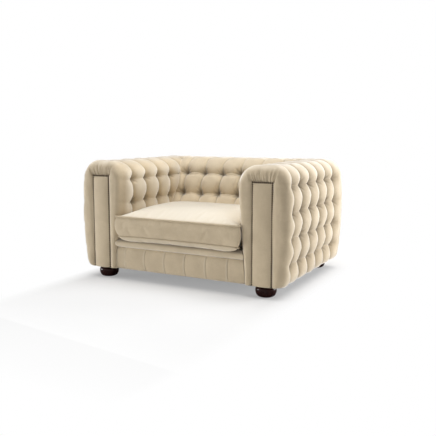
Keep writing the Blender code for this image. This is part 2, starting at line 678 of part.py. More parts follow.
# Timber frame
def build_frame():
    for side, sign in (("left", -1.0), ("right", 1.0)):
        inside = sign * POST_IN
        outside = sign * POST_OUT
        low_x, high_x = sorted((inside, outside))
        behind = POST_FRONT + BOARD
        ahead = POST_REAR - BOARD
        under_top = FRAME_TOP - BOARD
        board(side + "_front_post", (low_x, POST_FRONT, BASE_Z), (high_x, behind, under_top - GAP))
        board(side + "_rear_post", (low_x, ahead, BASE_Z), (high_x, POST_REAR, under_top - GAP))
        board(side + "_arm_rail", (low_x, POST_FRONT, under_top), (high_x, POST_REAR, FRAME_TOP))
        for place, start in (("inner", inside), ("outer", outside - sign * THIN_BOARD)):
            rail_x = sorted((start, start + sign * THIN_BOARD))
            board(side + "_" + place + "_side_rail", (rail_x[0], behind + GAP, BASE_Z),
                  (rail_x[1], ahead - GAP, RAIL_TOP))
    reach = POST_IN - GAP
    board("front_rail", (-reach, POST_FRONT, BASE_Z), (reach, POST_FRONT + BOARD, RAIL_TOP))
    seat_rear = float(back_front_y(BACK_BOTTOM)) - 2 * SOFT_GAP
    board("rear_seat_rail", (-reach, seat_rear, BASE_Z + 0.045), (reach, seat_rear + BOARD, RAIL_TOP))
    start_y, _ = back_frame_start()
    board("lower_back_rail", (-reach, start_y - 0.006, BASE_Z + 0.045), (reach, start_y + 0.044, RAIL_TOP))
    board("bottom_rear_rail", (-reach, REAR_Y - BOARD, BASE_Z), (reach, REAR_Y, BASE_Z + 0.09))
    return seat_rear


def build_back_frame():
    """Sloped uprights, a top rail and webs, all placed in the plane of the lean."""
    start_y, start_z = back_frame_start()
    plane = add_empty("back_frame_plane", (0.0, start_y, start_z), (-BACK_LEAN, 0.0, 0.0))
    rise = (FRAME_TOP - start_z) / math.cos(BACK_LEAN) - 2 * GAP
    half = BACK_HALF - THIN_BOARD - GAP
    front = WEB_THICKNESS + 2 * GAP
    rear = front + BACK_FRAME_BOARD
    top = rise - BACK_FRAME_WIDTH
    lefts = {"left": -half, "middle": -BACK_FRAME_WIDTH / 2, "right": half - BACK_FRAME_WIDTH}
    for name, left in lefts.items():
        high = (left + BACK_FRAME_WIDTH, rear, top - GAP)
        board("back_upright_" + name, (left, front, 0.0), high, parent=plane)
    board("back_top_rail", (-half, front, top), (half, rear, rise), parent=plane)
    bay = (half - 1.5 * BACK_FRAME_WIDTH) / (WEB_COUNT // 2)
    for index in range(WEB_COUNT):
        sign = -1.0 if index < WEB_COUNT // 2 else 1.0
        step = index % (WEB_COUNT // 2)
        middle = sign * (BACK_FRAME_WIDTH / 2 + bay * (step + 0.5))
        wide = min(WEB_WIDTH, 0.8 * bay) / 2
        high = (middle + wide, GAP + WEB_THICKNESS, rise)
        board("back_web_%d" % (index + 1), (middle - wide, GAP, 0.0), high, "webbing", 0, plane)


# Seat springs
def spring_path(start, end, low, high):
    """A zigzag wire from the front bar to the rear bar, arched up to the deck."""
    pitch = (end - start) / SPRING_HALF_WAVES
    corner = 0.28 * pitch
    points = [(-SPRING_HALF_WIDTH, start)]
    for wave in range(SPRING_HALF_WAVES):
        side = SPRING_HALF_WIDTH if wave % 2 == 0 else -SPRING_HALF_WIDTH
        inside = side - math.copysign(corner, side)
        here = start + wave * pitch
        after = here + pitch
        points += [(inside, here), (side, here + corner), (side, after - corner), (inside, after)]
    points.append((-side, end))
    flat = np.array(points)
    rise = np.sin(math.pi * (flat[:, 1] - start) / (end - start)) ** 2
    return np.column_stack([flat, low + (high - low) * rise])


def build_springs(seat_rear):
    radius = SPRING_WIRE / 2
    room = radius + GAP
    bar_z = RAIL_TOP - room - CLIP_WALL - 0.002
    front_face = POST_FRONT + BOARD + GAP
    rear_face = seat_rear - GAP
    reach = room * 2 + CLIP_WALL
    low = bar_z - room - CLIP_WALL
    high = bar_z + room + CLIP_WALL
    clip = [(0.0, low), (reach, low), (reach, low + CLIP_WALL), (CLIP_WALL, low + CLIP_WALL),
            (CLIP_WALL, high - CLIP_WALL), (reach, high - CLIP_WALL), (reach, high), (0.0, high)]
    length = 2 * (POST_IN - 0.01)
    extruded_along_x("front_spring_clip", [(front_face + y, z) for y, z in clip], length, "steel")
    extruded_along_x("rear_spring_clip", [(rear_face - y, z) for y, z in clip], length, "steel")
    first_bar = front_face + CLIP_WALL + room
    last_bar = rear_face - CLIP_WALL - room
    path = spring_path(first_bar, last_bar, bar_z, DECK_BOTTOM - radius - GAP)
    spread = float(arm_inner_x(DECK_TOP)) - 1.5 * SPRING_HALF_WIDTH
    pitch = 2 * spread / max(SPRING_COUNT - 1, 1)
    for index in range(SPRING_COUNT):
        place = (index - (SPRING_COUNT - 1) / 2) * pitch
        tube("seat_spring_%d" % (index + 1), path, radius, "steel", (place, 0.0, 0.0), resolution=0)


# Feet
def foot_places():
    return [(depth + "_" + side, sign * ARM_MIDDLE, y)
            for depth, y in (("front", FRONT_Y + FOOT_INSET), ("rear", REAR_Y - FOOT_INSET))
            for side, sign in (("left", -1.0), ("right", 1.0))]


def round_cutter(name, radius, centre, length):
    bm = bmesh.new()
    bmesh.ops.create_cone(bm, cap_ends=True, segments=12, radius1=radius, radius2=radius, depth=length)
    return cutter(name, mesh_from(bm, name), centre)


def build_feet():
    bore = BOLT_RADIUS + GAP
    deep = FOOT_HEIGHT - BOLT_IN_FOOT
    profile = [(0.0, deep - GAP), (bore, deep - GAP), (bore, FOOT_HEIGHT)]
    profile.append((0.86 * FOOT_RADIUS, FOOT_HEIGHT))
    for angle in (62, 34, 8, -20, -48, -72):
        turn = math.radians(angle)
        tall = 0.42 if angle > 0 else 0.56
        radius = FOOT_RADIUS * (0.62 + 0.38 * math.cos(turn))
        profile.append((radius, FOOT_HEIGHT * (0.58 + tall * math.sin(turn))))
    profile += [(FOOT_SOLE_RADIUS, 0.0), (0.0, 0.0)]
    end = FOOT_HEIGHT + BOLT_IN_BLOCK
    stud = [(0.0, deep), (BOLT_RADIUS, deep), (BOLT_RADIUS, end - BOLT_RADIUS)]
    stud += [(0.35 * BOLT_RADIUS, end), (0.0, end)]
    block_in = POST_IN + THIN_BOARD + GAP
    block_out = POST_OUT - THIN_BOARD - GAP
    for name, x, y in foot_places():
        turned("bun_foot_" + name, profile, 24, "dark_wood", (x, y, 0.0))
        turned("foot_bolt_" + name, stud, 12, "steel", (x, y, 0.0))
        sign = math.copysign(1.0, x)
        wide = sorted((sign * block_in, sign * block_out))
        near = POST_FRONT + BOARD + GAP if y < 0 else POST_REAR - BOARD - GAP - BLOCK_LENGTH
        high = (wide[1], near + BLOCK_LENGTH, BASE_Z + BLOCK_HEIGHT)
        block = board("foot_block_" + name, (wide[0], near, BASE_Z), high)
        cut(block, round_cutter(name + "_block_hole", bore, (x, y, BASE_Z), 2.4 * BLOCK_HEIGHT))


clear_scene()
PARTS = new_collection("snuggle_chair")
CUTTERS = new_collection("cutters")
build_feet()
rear_of_seat = build_frame()
build_back_frame()
build_springs(rear_of_seat)
build_arms()
build_back()
build_facings()
build_front()
build_outside()
build_cushion()
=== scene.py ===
# %% [markdown]
# # Dressing a wide tufted armchair
#
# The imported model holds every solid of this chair: timber, springs, foam, feet and a loose cushion.
# This lesson puts a velvet cover on it, piece by piece, and then lights it as a plain studio picture.
# The solids are the frame: they are loaded once, never moved, and every new piece takes its place from them.
# We keep the box of the bare solids, so that at the end we can see how far the velvet stands proud of it.

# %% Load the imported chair
import math

import bpy
import numpy as np
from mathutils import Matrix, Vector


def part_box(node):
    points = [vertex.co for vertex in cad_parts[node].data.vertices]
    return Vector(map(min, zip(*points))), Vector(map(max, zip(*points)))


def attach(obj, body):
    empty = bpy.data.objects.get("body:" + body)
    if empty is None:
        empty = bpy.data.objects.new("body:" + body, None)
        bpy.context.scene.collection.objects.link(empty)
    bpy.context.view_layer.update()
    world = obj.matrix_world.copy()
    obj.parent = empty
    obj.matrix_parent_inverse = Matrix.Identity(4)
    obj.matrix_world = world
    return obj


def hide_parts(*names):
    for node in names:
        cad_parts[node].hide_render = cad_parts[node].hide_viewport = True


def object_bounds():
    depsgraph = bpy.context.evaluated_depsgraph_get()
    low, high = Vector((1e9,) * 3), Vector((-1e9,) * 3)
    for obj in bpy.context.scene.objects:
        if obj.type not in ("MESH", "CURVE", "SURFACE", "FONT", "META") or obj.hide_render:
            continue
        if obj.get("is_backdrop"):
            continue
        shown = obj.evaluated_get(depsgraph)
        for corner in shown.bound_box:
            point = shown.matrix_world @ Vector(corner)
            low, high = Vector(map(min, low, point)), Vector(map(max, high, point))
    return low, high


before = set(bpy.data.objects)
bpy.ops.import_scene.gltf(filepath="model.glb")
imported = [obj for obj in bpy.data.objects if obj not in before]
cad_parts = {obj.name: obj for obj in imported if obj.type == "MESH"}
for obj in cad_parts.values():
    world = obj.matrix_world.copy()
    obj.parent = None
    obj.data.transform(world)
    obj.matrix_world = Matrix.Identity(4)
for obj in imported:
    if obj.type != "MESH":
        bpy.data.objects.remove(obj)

solid_low, solid_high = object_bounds()
print("packed chair:", len(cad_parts), "solids,", [round(v, 4) for v in solid_high - solid_low], "m")

# %% [markdown]
# ## The sizes that the velvet follows
#
# An upholsterer works from a few measures: how far apart the pleats are, how deep a tuft is drawn,
# how round an edge is. Most of them shaped the solids too; a few differ by some millimetres,
# because velvet lies fuller over the foam in one place and tighter in another.
# The chair faces -Y, the floor is Z = 0, and the origin is under its middle.

# %% Measures of the chair, in metres
SEAT_WIDTH, SEAT_DEPTH, SEAT_DEPTH_AT, BACK_LEAN = 0.800, 0.565, 0.402, math.radians(23.0)
ARM_WIDTH, ARM_DEPTH, CHAIR_HEIGHT = 0.226, 0.918, 0.672
ARM_OVERHANG_IN, ARM_OVERHANG_OUT, OVERHANG_FRONT = 0.055, 0.0235, 0.60
COLUMN_PITCH_ARM, COLUMN_PITCH_BACK, FIRST_COLUMN = 0.134, 0.128, 0.105
ROW_PITCH, TOP_ROW_DROP, BACK_ROW_LIFT, BACK_ROW_PITCH = 0.1325, 0.104, 0.016, 0.1245
FRONT_ROUND, FRONT_ROUND_IN, REAR_ROUND = 0.050, 0.028, 0.060
ARM_ROUND_IN, ARM_ROUND_OUT, BACK_ROUND = 0.115, 0.102, 0.085
UNDER_ROLL, UNDER_ROLL_HEIGHT = 0.026, 0.046
DECK_TOP, RAIL_TOP, BASE_Z = 0.240, 0.186, 0.0618
SEAM_LOW, SEAM_HIGH, CUSHION_PROUD, PIPING_RADIUS = 0.249, 0.364, 0.018, 0.0042
FACING_HALF, FACING_TOP, REAR_PANEL, POST_BEHIND = 0.055, 0.589, 0.014, 0.030
GAP, SOFT_GAP = 0.0003, 0.002
TOP_ROW = CHAIR_HEIGHT - TOP_ROW_DROP
FRONT_Y = CUSHION_PROUD - (CUSHION_PROUD + ARM_DEPTH + GAP + REAR_PANEL) / 2
REAR_Y = FRONT_Y + ARM_DEPTH
ARM_FOOT_IN = SEAT_WIDTH / 2
ARM_FOOT_OUT = ARM_FOOT_IN + ARM_WIDTH
ARM_MIDDLE = ARM_FOOT_IN + 0.442 * ARM_WIDTH
JOIN_X = ARM_FOOT_IN - 0.1 * ARM_OVERHANG_IN
BACK_HALF = JOIN_X - 2 * GAP
POST_FRONT = FRONT_Y + POST_BEHIND
BACK_BOTTOM = RAIL_TOP + 2 * GAP
print("arm fronts at y = %.4f, arm rears at y = %.4f" % (FRONT_Y, REAR_Y))

# %% [markdown]
# ## From arrays to meshes
#
# Nearly every piece of upholstery is a stack of sections: rings of points, one after the other.
# numpy works out all the points at once, and two small helpers turn such a stack into a closed, smooth mesh.
# A loop over single vertices would give the same shape, but slowly, and it would hide the formula.

# %% Helpers that make meshes
def put_mesh(name, points, faces, stuff, fold=None):
    """Points (n, 3) and arrays of face corners become a smooth mesh object at the origin.
    The signed volume is the sum of corner triple products; if it is negative the faces are turned round."""
    corners = [np.asarray(f) for f in faces]
    tri = np.concatenate([f[:, [0, k, k + 1]] for f in corners for k in range(1, f.shape[1] - 1)])
    p = points[tri]
    if np.einsum("ij,ij->i", p[:, 0], np.cross(p[:, 1], p[:, 2])).sum() < 0:
        corners = [f[:, ::-1] for f in corners]
    sizes = np.concatenate([np.full(len(f), f.shape[1]) for f in corners])
    loops = np.concatenate([f.ravel() for f in corners])
    mesh = bpy.data.meshes.new(name)
    mesh.vertices.add(len(points))
    mesh.vertices.foreach_set("co", points.astype(np.float32).ravel())
    mesh.loops.add(len(loops))
    mesh.loops.foreach_set("vertex_index", loops.astype(np.int32))
    mesh.polygons.add(len(sizes))
    mesh.polygons.foreach_set("loop_start", np.concatenate([[0], np.cumsum(sizes)[:-1]]).astype(np.int32))
    mesh.polygons.foreach_set("use_smooth", np.ones(len(sizes), bool))
    mesh.update(calc_edges=True)
    mesh.validate()
    if fold is not None:
        layer = mesh.attributes.new("fold", "FLOAT", "POINT")
        layer.data.foreach_set("value", fold.astype(np.float32).ravel())
    mesh.materials.append(stuff)
    obj = bpy.data.objects.new(name, mesh)
    bpy.context.scene.collection.objects.link(obj)
    return obj


def loft_faces(m, n, ring=False):
    """Faces of m rings of n points. Ring i joins ring i + 1, and an open stack is closed by a fan at each end."""
    i = np.arange(m if ring else m - 1)[:, None]
    j = np.arange(n)[None, :]
    here, there = i * n, ((i + 1) % m) * n
    side = np.stack(np.broadcast_arrays(here + j, here + (j + 1) % n, there + (j + 1) % n, there + j), -1)
    if ring:
        return [side.reshape(-1, 4)]
    turn = np.arange(n)
    first = np.stack([(turn + 1) % n, turn, np.full(n, m * n)], -1)
    last = np.stack([turn, (turn + 1) % n, np.full(n, m * n + 1)], -1)
    last[:, :2] += (m - 1) * n
    return [side.reshape(-1, 4), np.concatenate([first, last])]


def loft(name, rings, stuff, fold=None, ring=False):
    """A stack of rings (m, n, 3) as one closed piece; each open end closes on the mean of its ring."""
    m, n, _ = rings.shape
    points = rings.reshape(-1, 3)
    if not ring:
        points = np.concatenate([points, rings[0].mean(0)[None], rings[-1].mean(0)[None]])
        fold = None if fold is None else np.concatenate([fold.ravel(), [0.0, 0.0]])
    return put_mesh(name, points, loft_faces(m, n, ring), stuff, fold)


def grid_points(x, y, z):
    """Three arrays that broadcast to one grid, as its points."""
    return np.stack(np.broadcast_arrays(x, y, z), -1)


def bridge(start, end, count):
    """Columns of points that lead straight from one column to another, without those two."""
    t = np.linspace(0.0, 1.0, count + 2)[1:-1][None, :, None]
    return start * (1.0 - t) + end * t


def add_columns(points, fold, *more):
    """A grid with further columns of points, which lie in no fold."""
    plain = [np.zeros(part.shape[:2]) for part in more]
    return np.concatenate([points, *more], axis=1), np.concatenate([fold, *plain], axis=1)


def dress(obj, body, slot, *nodes):
    """The piece rides on a body and stands for the solids it covers; slot is not used."""
    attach(obj, body)
    if nodes:
        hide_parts(*nodes)
    print(obj.name, "has", len(obj.data.polygons), "faces")
    return obj


# %% Curves shared by the padded pieces
def smoothstep(value):
    """0 below 0, 1 above 1, and 3v^2 - 2v^3 between."""
    value = np.clip(value, 0.0, 1.0)
    return value * value * (3.0 - 2.0 * value)


def bell(distance, width):
    """1 at no distance and e^-1 at the width: exp(-(d / w)^2)."""
    return np.exp(-(distance / width) ** 2)


def crease(share, power=2.0):
    """1 in the fold (share 0) and 0 at the middle of the puff (share 0.5), as a superellipse of that power."""
    reach = np.clip(1.0 - 2.0 * share, 0.0, 1.0)
    return 1.0 - (1.0 - reach ** power) ** (1.0 / power)


def knots_dense(knots, counts, squeeze=0.55):
    """Levels from knot to knot, closer together near the knots: a share of cosine spacing in even spacing."""
    parts = []
    for low, high, count in zip(knots[:-1], knots[1:], counts):
        t = np.linspace(0.0, 1.0, count + 1)[:-1]
        t = (1.0 - squeeze) * t + squeeze * 0.5 * (1.0 - np.cos(math.pi * t))
        parts.append(low + (high - low) * t)
    return np.concatenate(parts + [[knots[-1]]])


def lumps(u, v, height, wavelength, seed):
    """Soft unevenness of stuffing: eight sine waves in seeded directions, added up."""
    rng = np.random.default_rng(seed)
    angle, phase = rng.uniform(0, 2 * math.pi, (2, 8))
    length = wavelength * rng.uniform(0.6, 1.6, 8)
    waves = [np.sin(2 * math.pi * (u * math.cos(a) + v * math.sin(a)) / k + f)
             for a, k, f in zip(angle, length, phase)]
    return height * sum(waves) / 3.0


def surface_normals(points, outside):
    """Unit normals of a grid of points: the cross product of its two directions, turned towards outside."""
    normal = np.cross(np.gradient(points, axis=0), np.gradient(points, axis=1))
    normal /= np.maximum(np.linalg.norm(normal, axis=-1, keepdims=True), 1e-12)
    return normal * np.sign(np.sum(normal * outside, axis=-1).mean())


# %% [markdown]
# ## Finishes
#
# The cover is a cream velvet: a short pile with a bright bloom at grazing angles.
# Noise on Object coordinates gives the leaning of the pile and its grain,
# and the sheen of the shader gives the bloom. An attribute called fold is made with the pleats:
# above 0 it mixes in a dark colour, painted shade for folds, tufts and hollows;
# below 0 it mixes in a pale colour, a painted highlight where more light falls.
# A picture of cloth would be easier, but it would stretch over the tufts and repeat.

# %% Small helpers for node trees
def material(name, roughness, metallic=0.0, **sockets):
    """An empty Principled material; constants go straight onto the shader's own sockets."""
    made = bpy.data.materials.new(name)
    made.use_nodes = True
    shader = made.node_tree.nodes["Principled BSDF"]
    shader.inputs["Roughness"].default_value = roughness
    shader.inputs["Metallic"].default_value = metallic
    for key, value in sockets.items():
        shader.inputs[key.replace("_", " ")].default_value = value
    return made, made.node_tree, shader


def add_node(tree, kind, inputs=None, **settings):
    """One node with its settings; each of its sockets takes a constant or the output of another node."""
    node = tree.nodes.new(kind)
    for key, value in settings.items():
        setattr(node, key, value)
    for key, value in (inputs or {}).items():
        if isinstance(value, bpy.types.NodeSocket):
            tree.links.new(value, node.inputs[key])
        else:
            node.inputs[key].default_value = value
    return node


def where(tree):
    """Object coordinates of the piece."""
    return add_node(tree, "ShaderNodeTexCoord").outputs["Object"]


def maths(tree, operation, first, second):
    """One step of arithmetic on two values."""
    return add_node(tree, "ShaderNodeMath", {0: first, 1: second}, operation=operation).outputs["Value"]


def noise(tree, scale, detail=2.0, roughness=0.5, stretch=None):
    """Noise on Object coordinates, in cycles per metre, drawn out along an axis if stretch says so."""
    place = where(tree)
    if stretch:
        place = add_node(tree, "ShaderNodeMapping", {"Vector": place, "Scale": stretch}).outputs["Vector"]
    sockets = {"Vector": place, "Scale": scale, "Detail": detail, "Roughness": roughness}
    return add_node(tree, "ShaderNodeTexNoise", sockets).outputs["Fac"]


def remap(tree, source, low, high, to_low=0.0, to_high=1.0):
    """A value between low and high stretched to to_low .. to_high and held inside them."""
    sockets = {"Value": source, "From Min": low, "From Max": high, "To Min": to_low, "To Max": to_high}
    return add_node(tree, "ShaderNodeMapRange", sockets).outputs["Result"]


def mix(tree, factor, first, second):
    """Mix of two colours; each is a colour or the output of a node."""
    return add_node(tree, "ShaderNodeMix", {0: factor, 6: first, 7: second}, data_type="RGBA").outputs[2]


def bump(tree, shader, height, strength, distance):
    """Fine relief: the height tips the normal of the shader."""
    node = add_node(tree, "ShaderNodeBump", {"Height": height, "Strength": strength, "Distance": distance})
    tree.links.new(node.outputs["Normal"], shader.inputs["Normal"])


def paint(tree, shader, colour):
    """The output of a node becomes the colour of the shader."""
    tree.links.new(colour, shader.inputs["Base Color"])


# %% The velvet of the cover
PILE_DARK, PILE_PALE = (0.525, 0.426, 0.289, 1.0), (0.613, 0.503, 0.347, 1.0)
CORD_DARK, CORD_PALE = (0.50, 0.41, 0.28, 1.0), (0.58, 0.48, 0.335, 1.0)
PAINTED_SHADE_COLOUR, PAINTED_HIGHLIGHT_COLOUR = (0.190, 0.158, 0.120, 1.0), (0.765, 0.690, 0.560, 1.0)
MOTTLE, GLINT = 0.80, 1.18


def tinted(colour, share):
    """A colour times a share, held below 1."""
    return (*[min(1.0, share * c) for c in colour[:3]], 1.0)


def velvet(name, dark, pale, sheen):
    """Pile colour between dark and pale by large noise, mottled and grained by finer noise; a dark colour,
    painted shade, where the attribute fold is above 0, and a pale colour, a painted highlight, where it is below 0."""
    made, tree, shader = material(name, 0.82, Sheen_Weight=sheen, Sheen_Roughness=0.42,
                                  Sheen_Tint=(1.0, 1.0, 1.0, 1.0), Specular_IOR_Level=0.18)
    lean = remap(tree, noise(tree, 9.0, 4.0, 0.6), 0.34, 0.66)
    mottle = remap(tree, noise(tree, 130.0, 2.0, 0.6), 0.35, 0.65, 0.0, 0.16)
    grain = noise(tree, 520.0, 3.0, 0.6)
    fold = add_node(tree, "ShaderNodeAttribute", attribute_name="fold").outputs["Fac"]
    pile = mix(tree, lean, dark, pale)
    pile = mix(tree, mottle, pile, tinted(dark, MOTTLE))
    pile = mix(tree, remap(tree, grain, 0.36, 0.64, 0.0, 0.22), pile, tinted(pale, GLINT))
    # Painted shade: the dark colour where fold is above 0. Painted highlight: the pale colour where it is below 0.
    pile = mix(tree, remap(tree, fold, 0.05, 1.0, 0.0, 0.85), pile, PAINTED_SHADE_COLOUR)
    pile = mix(tree, remap(tree, fold, 0.0, -1.0), pile, PAINTED_HIGHLIGHT_COLOUR)
    paint(tree, shader, pile)
    bump(tree, shader, grain, 0.35, 0.0008)
    return made


cover = velvet("cream_velvet", PILE_DARK, PILE_PALE, 1.0)
welt = velvet("cream_velvet_cord", CORD_DARK, CORD_PALE, 0.35)
print("made:", cover.name, welt.name)

# %% [markdown]
# ## Wood, metal and plain cloth
#
# The bun feet are stained almost black and lacquered, so they need a clear coat more than a colour.
# The nails are darkened bronze. Under the velvet the timber is plain beech, whose grain follows each board,
# so there is one beech for each direction that a board can run.

# %% Finishes of the hard and hidden pieces
def wood(name, dark, pale, figure, stretch, relief, roughness, **gloss):
    """Wood between dark and pale by noise that is drawn out along the grain, with the grain slightly raised."""
    made, tree, shader = material(name, roughness, **gloss)
    grain = noise(tree, *figure, stretch=stretch)
    paint(tree, shader, mix(tree, remap(tree, grain, 0.3, 0.7), dark, pale))
    bump(tree, shader, grain, *relief)
    return made


def aged_metal(name, dark, pale, roughness, wear):
    """Metal whose colour goes from dark in its patina to pale where it is rubbed."""
    made, tree, shader = material(name, roughness, 1.0)
    patina = noise(tree, wear, 4.0, 0.65)
    paint(tree, shader, mix(tree, remap(tree, patina, 0.35, 0.7), dark, pale))
    tree.links.new(remap(tree, patina, 0.3, 0.7, roughness - 0.1, roughness + 0.12), shader.inputs["Roughness"])
    return made


def plain_cloth(name, dark, pale, pitch):
    """A woven cloth: two crossed waves of the thread pitch make the weave, noise makes it uneven."""
    made, tree, shader = material(name, 0.9, Sheen_Weight=0.1, Specular_IOR_Level=0.15)
    sockets = {"Vector": where(tree), "Scale": 0.314 / pitch, "Distortion": 0.4, "Detail": 1.0}
    threads = [add_node(tree, "ShaderNodeTexWave", sockets, bands_direction=axis).outputs["Fac"] for axis in "XY"]
    weave = maths(tree, "MULTIPLY", *threads)
    uneven = remap(tree, noise(tree, 25.0, 3.0), 0.3, 0.7, 0.0, 0.3)
    paint(tree, shader, mix(tree, uneven, mix(tree, weave, dark, pale), dark))
    bump(tree, shader, weave, 0.4, 0.0006)
    return made


dark_wood = wood("dark_lacquered_wood", (0.012, 0.0032, 0.0026, 1.0), (0.030, 0.0080, 0.0062, 1.0), (60.0, 5.0, 0.6),
                 (1.0, 1.0, 0.12), (0.08, 0.0004), 0.26, Specular_IOR_Level=0.08, Coat_Weight=0.03, Coat_Roughness=0.04)
beech_by_axis = [wood("beech_along_" + "xyz"[k], (0.44, 0.29, 0.165, 1.0), (0.62, 0.46, 0.29, 1.0), (70.0, 6.0, 0.65),
                      tuple(0.08 if k == axis else 1.0 for axis in range(3)), (0.15, 0.0006), 0.55) for k in range(3)]
bronze = aged_metal("darkened_bronze", (0.016, 0.010, 0.007, 1.0), (0.060, 0.040, 0.028, 1.0), 0.40, 260.0)
steel = aged_metal("spring_steel", (0.20, 0.20, 0.21, 1.0), (0.42, 0.42, 0.43, 1.0), 0.36, 120.0)
deck_cloth = plain_cloth("deck_cloth", (0.33, 0.27, 0.19, 1.0), (0.45, 0.375, 0.27, 1.0), 0.0012)
cover_cloth = plain_cloth("black_cover_cloth", (0.010, 0.010, 0.010, 1.0), (0.03, 0.03, 0.03, 1.0), 0.0015)
webbing = plain_cloth("elastic_webbing", (0.03, 0.028, 0.025, 1.0), (0.09, 0.082, 0.07, 1.0), 0.0020)
print("made:", dark_wood.name, bronze.name, steel.name, deck_cloth.name, cover_cloth.name, webbing.name)

# %% [markdown]
# ## The solids that stay
#
# Boards, bolts, blocks and clip strips have their real shape already, so they keep it and only get a finish.
# Each board takes the beech whose grain runs along its longest side.

# %% Give the hidden solids their finish
def refinish(node, stuff):
    """One finish in place of those that the solid came with."""
    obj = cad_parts[node]
    obj.data.materials.clear()
    obj.data.materials.append(stuff)


BOARD_WORDS = ("post", "rail", "upright", "block")
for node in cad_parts:
    low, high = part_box(node)
    if node.startswith("back_web"):
        refinish(node, webbing)
    elif "spring" in node or "bolt" in node:
        refinish(node, steel)
    elif any(word in node for word in BOARD_WORDS):
        refinish(node, beech_by_axis[int(np.argmax(high - low))])
print("finished solids:", sum(any(word in node for word in BOARD_WORDS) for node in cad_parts), "boards")

# %% [markdown]
# ## How a tufted cover lies
#
# A tufted pad is one cover drawn in at a grid of points. Between the points of a column it folds into an upright
# pleat, and across a row it dips a little. Above each point the cover hangs in small folds that fan out.
# We treat it as a height over the smooth crown of the pad: a function of the distance to the nearest pleat
# and the distance to the nearest row, with the fans added for each tuft. Handwork is never even, so pleats sway,
# tufts slip and puffs differ by seeded amounts. A sculpted mesh could look as good,
# but it could not be changed by a number.

# %% The height of the tufted cover
TUFT_BESIDE, TUFT_ABOVE, TUFT_BELOW, TUFT_POWER = 0.044, 0.036, 0.030, 1.4
PLEAT_SWAY, SWAY_LENGTHS, TUFT_SLIP = 0.0020, (0.11, 0.19), 0.002
PUFF_VARIETY, PUFF_ABOVE, PUFF_BELOW = 0.08, 0.84, 1.16
SECOND_FOLD_AT, SECOND_FOLD_WIDE = 0.012, 0.0042
FAN_ANGLE, FAN_STRAY, FAN_START, FAN_WIDE = 0.95, 0.12, 0.010, 0.0044
FAN_LENGTHS, FAN_DEPTHS, FAN_ROOM = (0.034, 0.062), (0.0022, 0.0058), (0.06, 0.07)
FLANK_SHADE_BEHIND, FLANK_SHADE, TUFT_SHADE, FAN_SHADE = 0.006, 0.52, 0.95, 55.0


def nearest_line(values, lines):
    """Signed distance from each value to its nearest line, and which line that is."""
    gaps = values[..., None] - lines
    pick = np.argmin(np.abs(gaps), axis=-1)
    return np.take_along_axis(gaps, pick[..., None], -1)[..., 0], pick


def rays(across, up, angle, start, end, depth, width):
    """A groove along a ray from a tuft: a bell across the ray, fading in after start and out before end."""
    along = across * math.sin(angle) + up * math.cos(angle)
    beside = across * math.cos(angle) - up * math.sin(angle)
    room = width * (0.6 + 0.9 * np.clip(along / end, 0.0, 1.0))
    fade = smoothstep((along - 0.3 * start) / (0.7 * start)) * smoothstep((end - along) / (0.6 * end))
    return depth * bell(beside, room) * fade


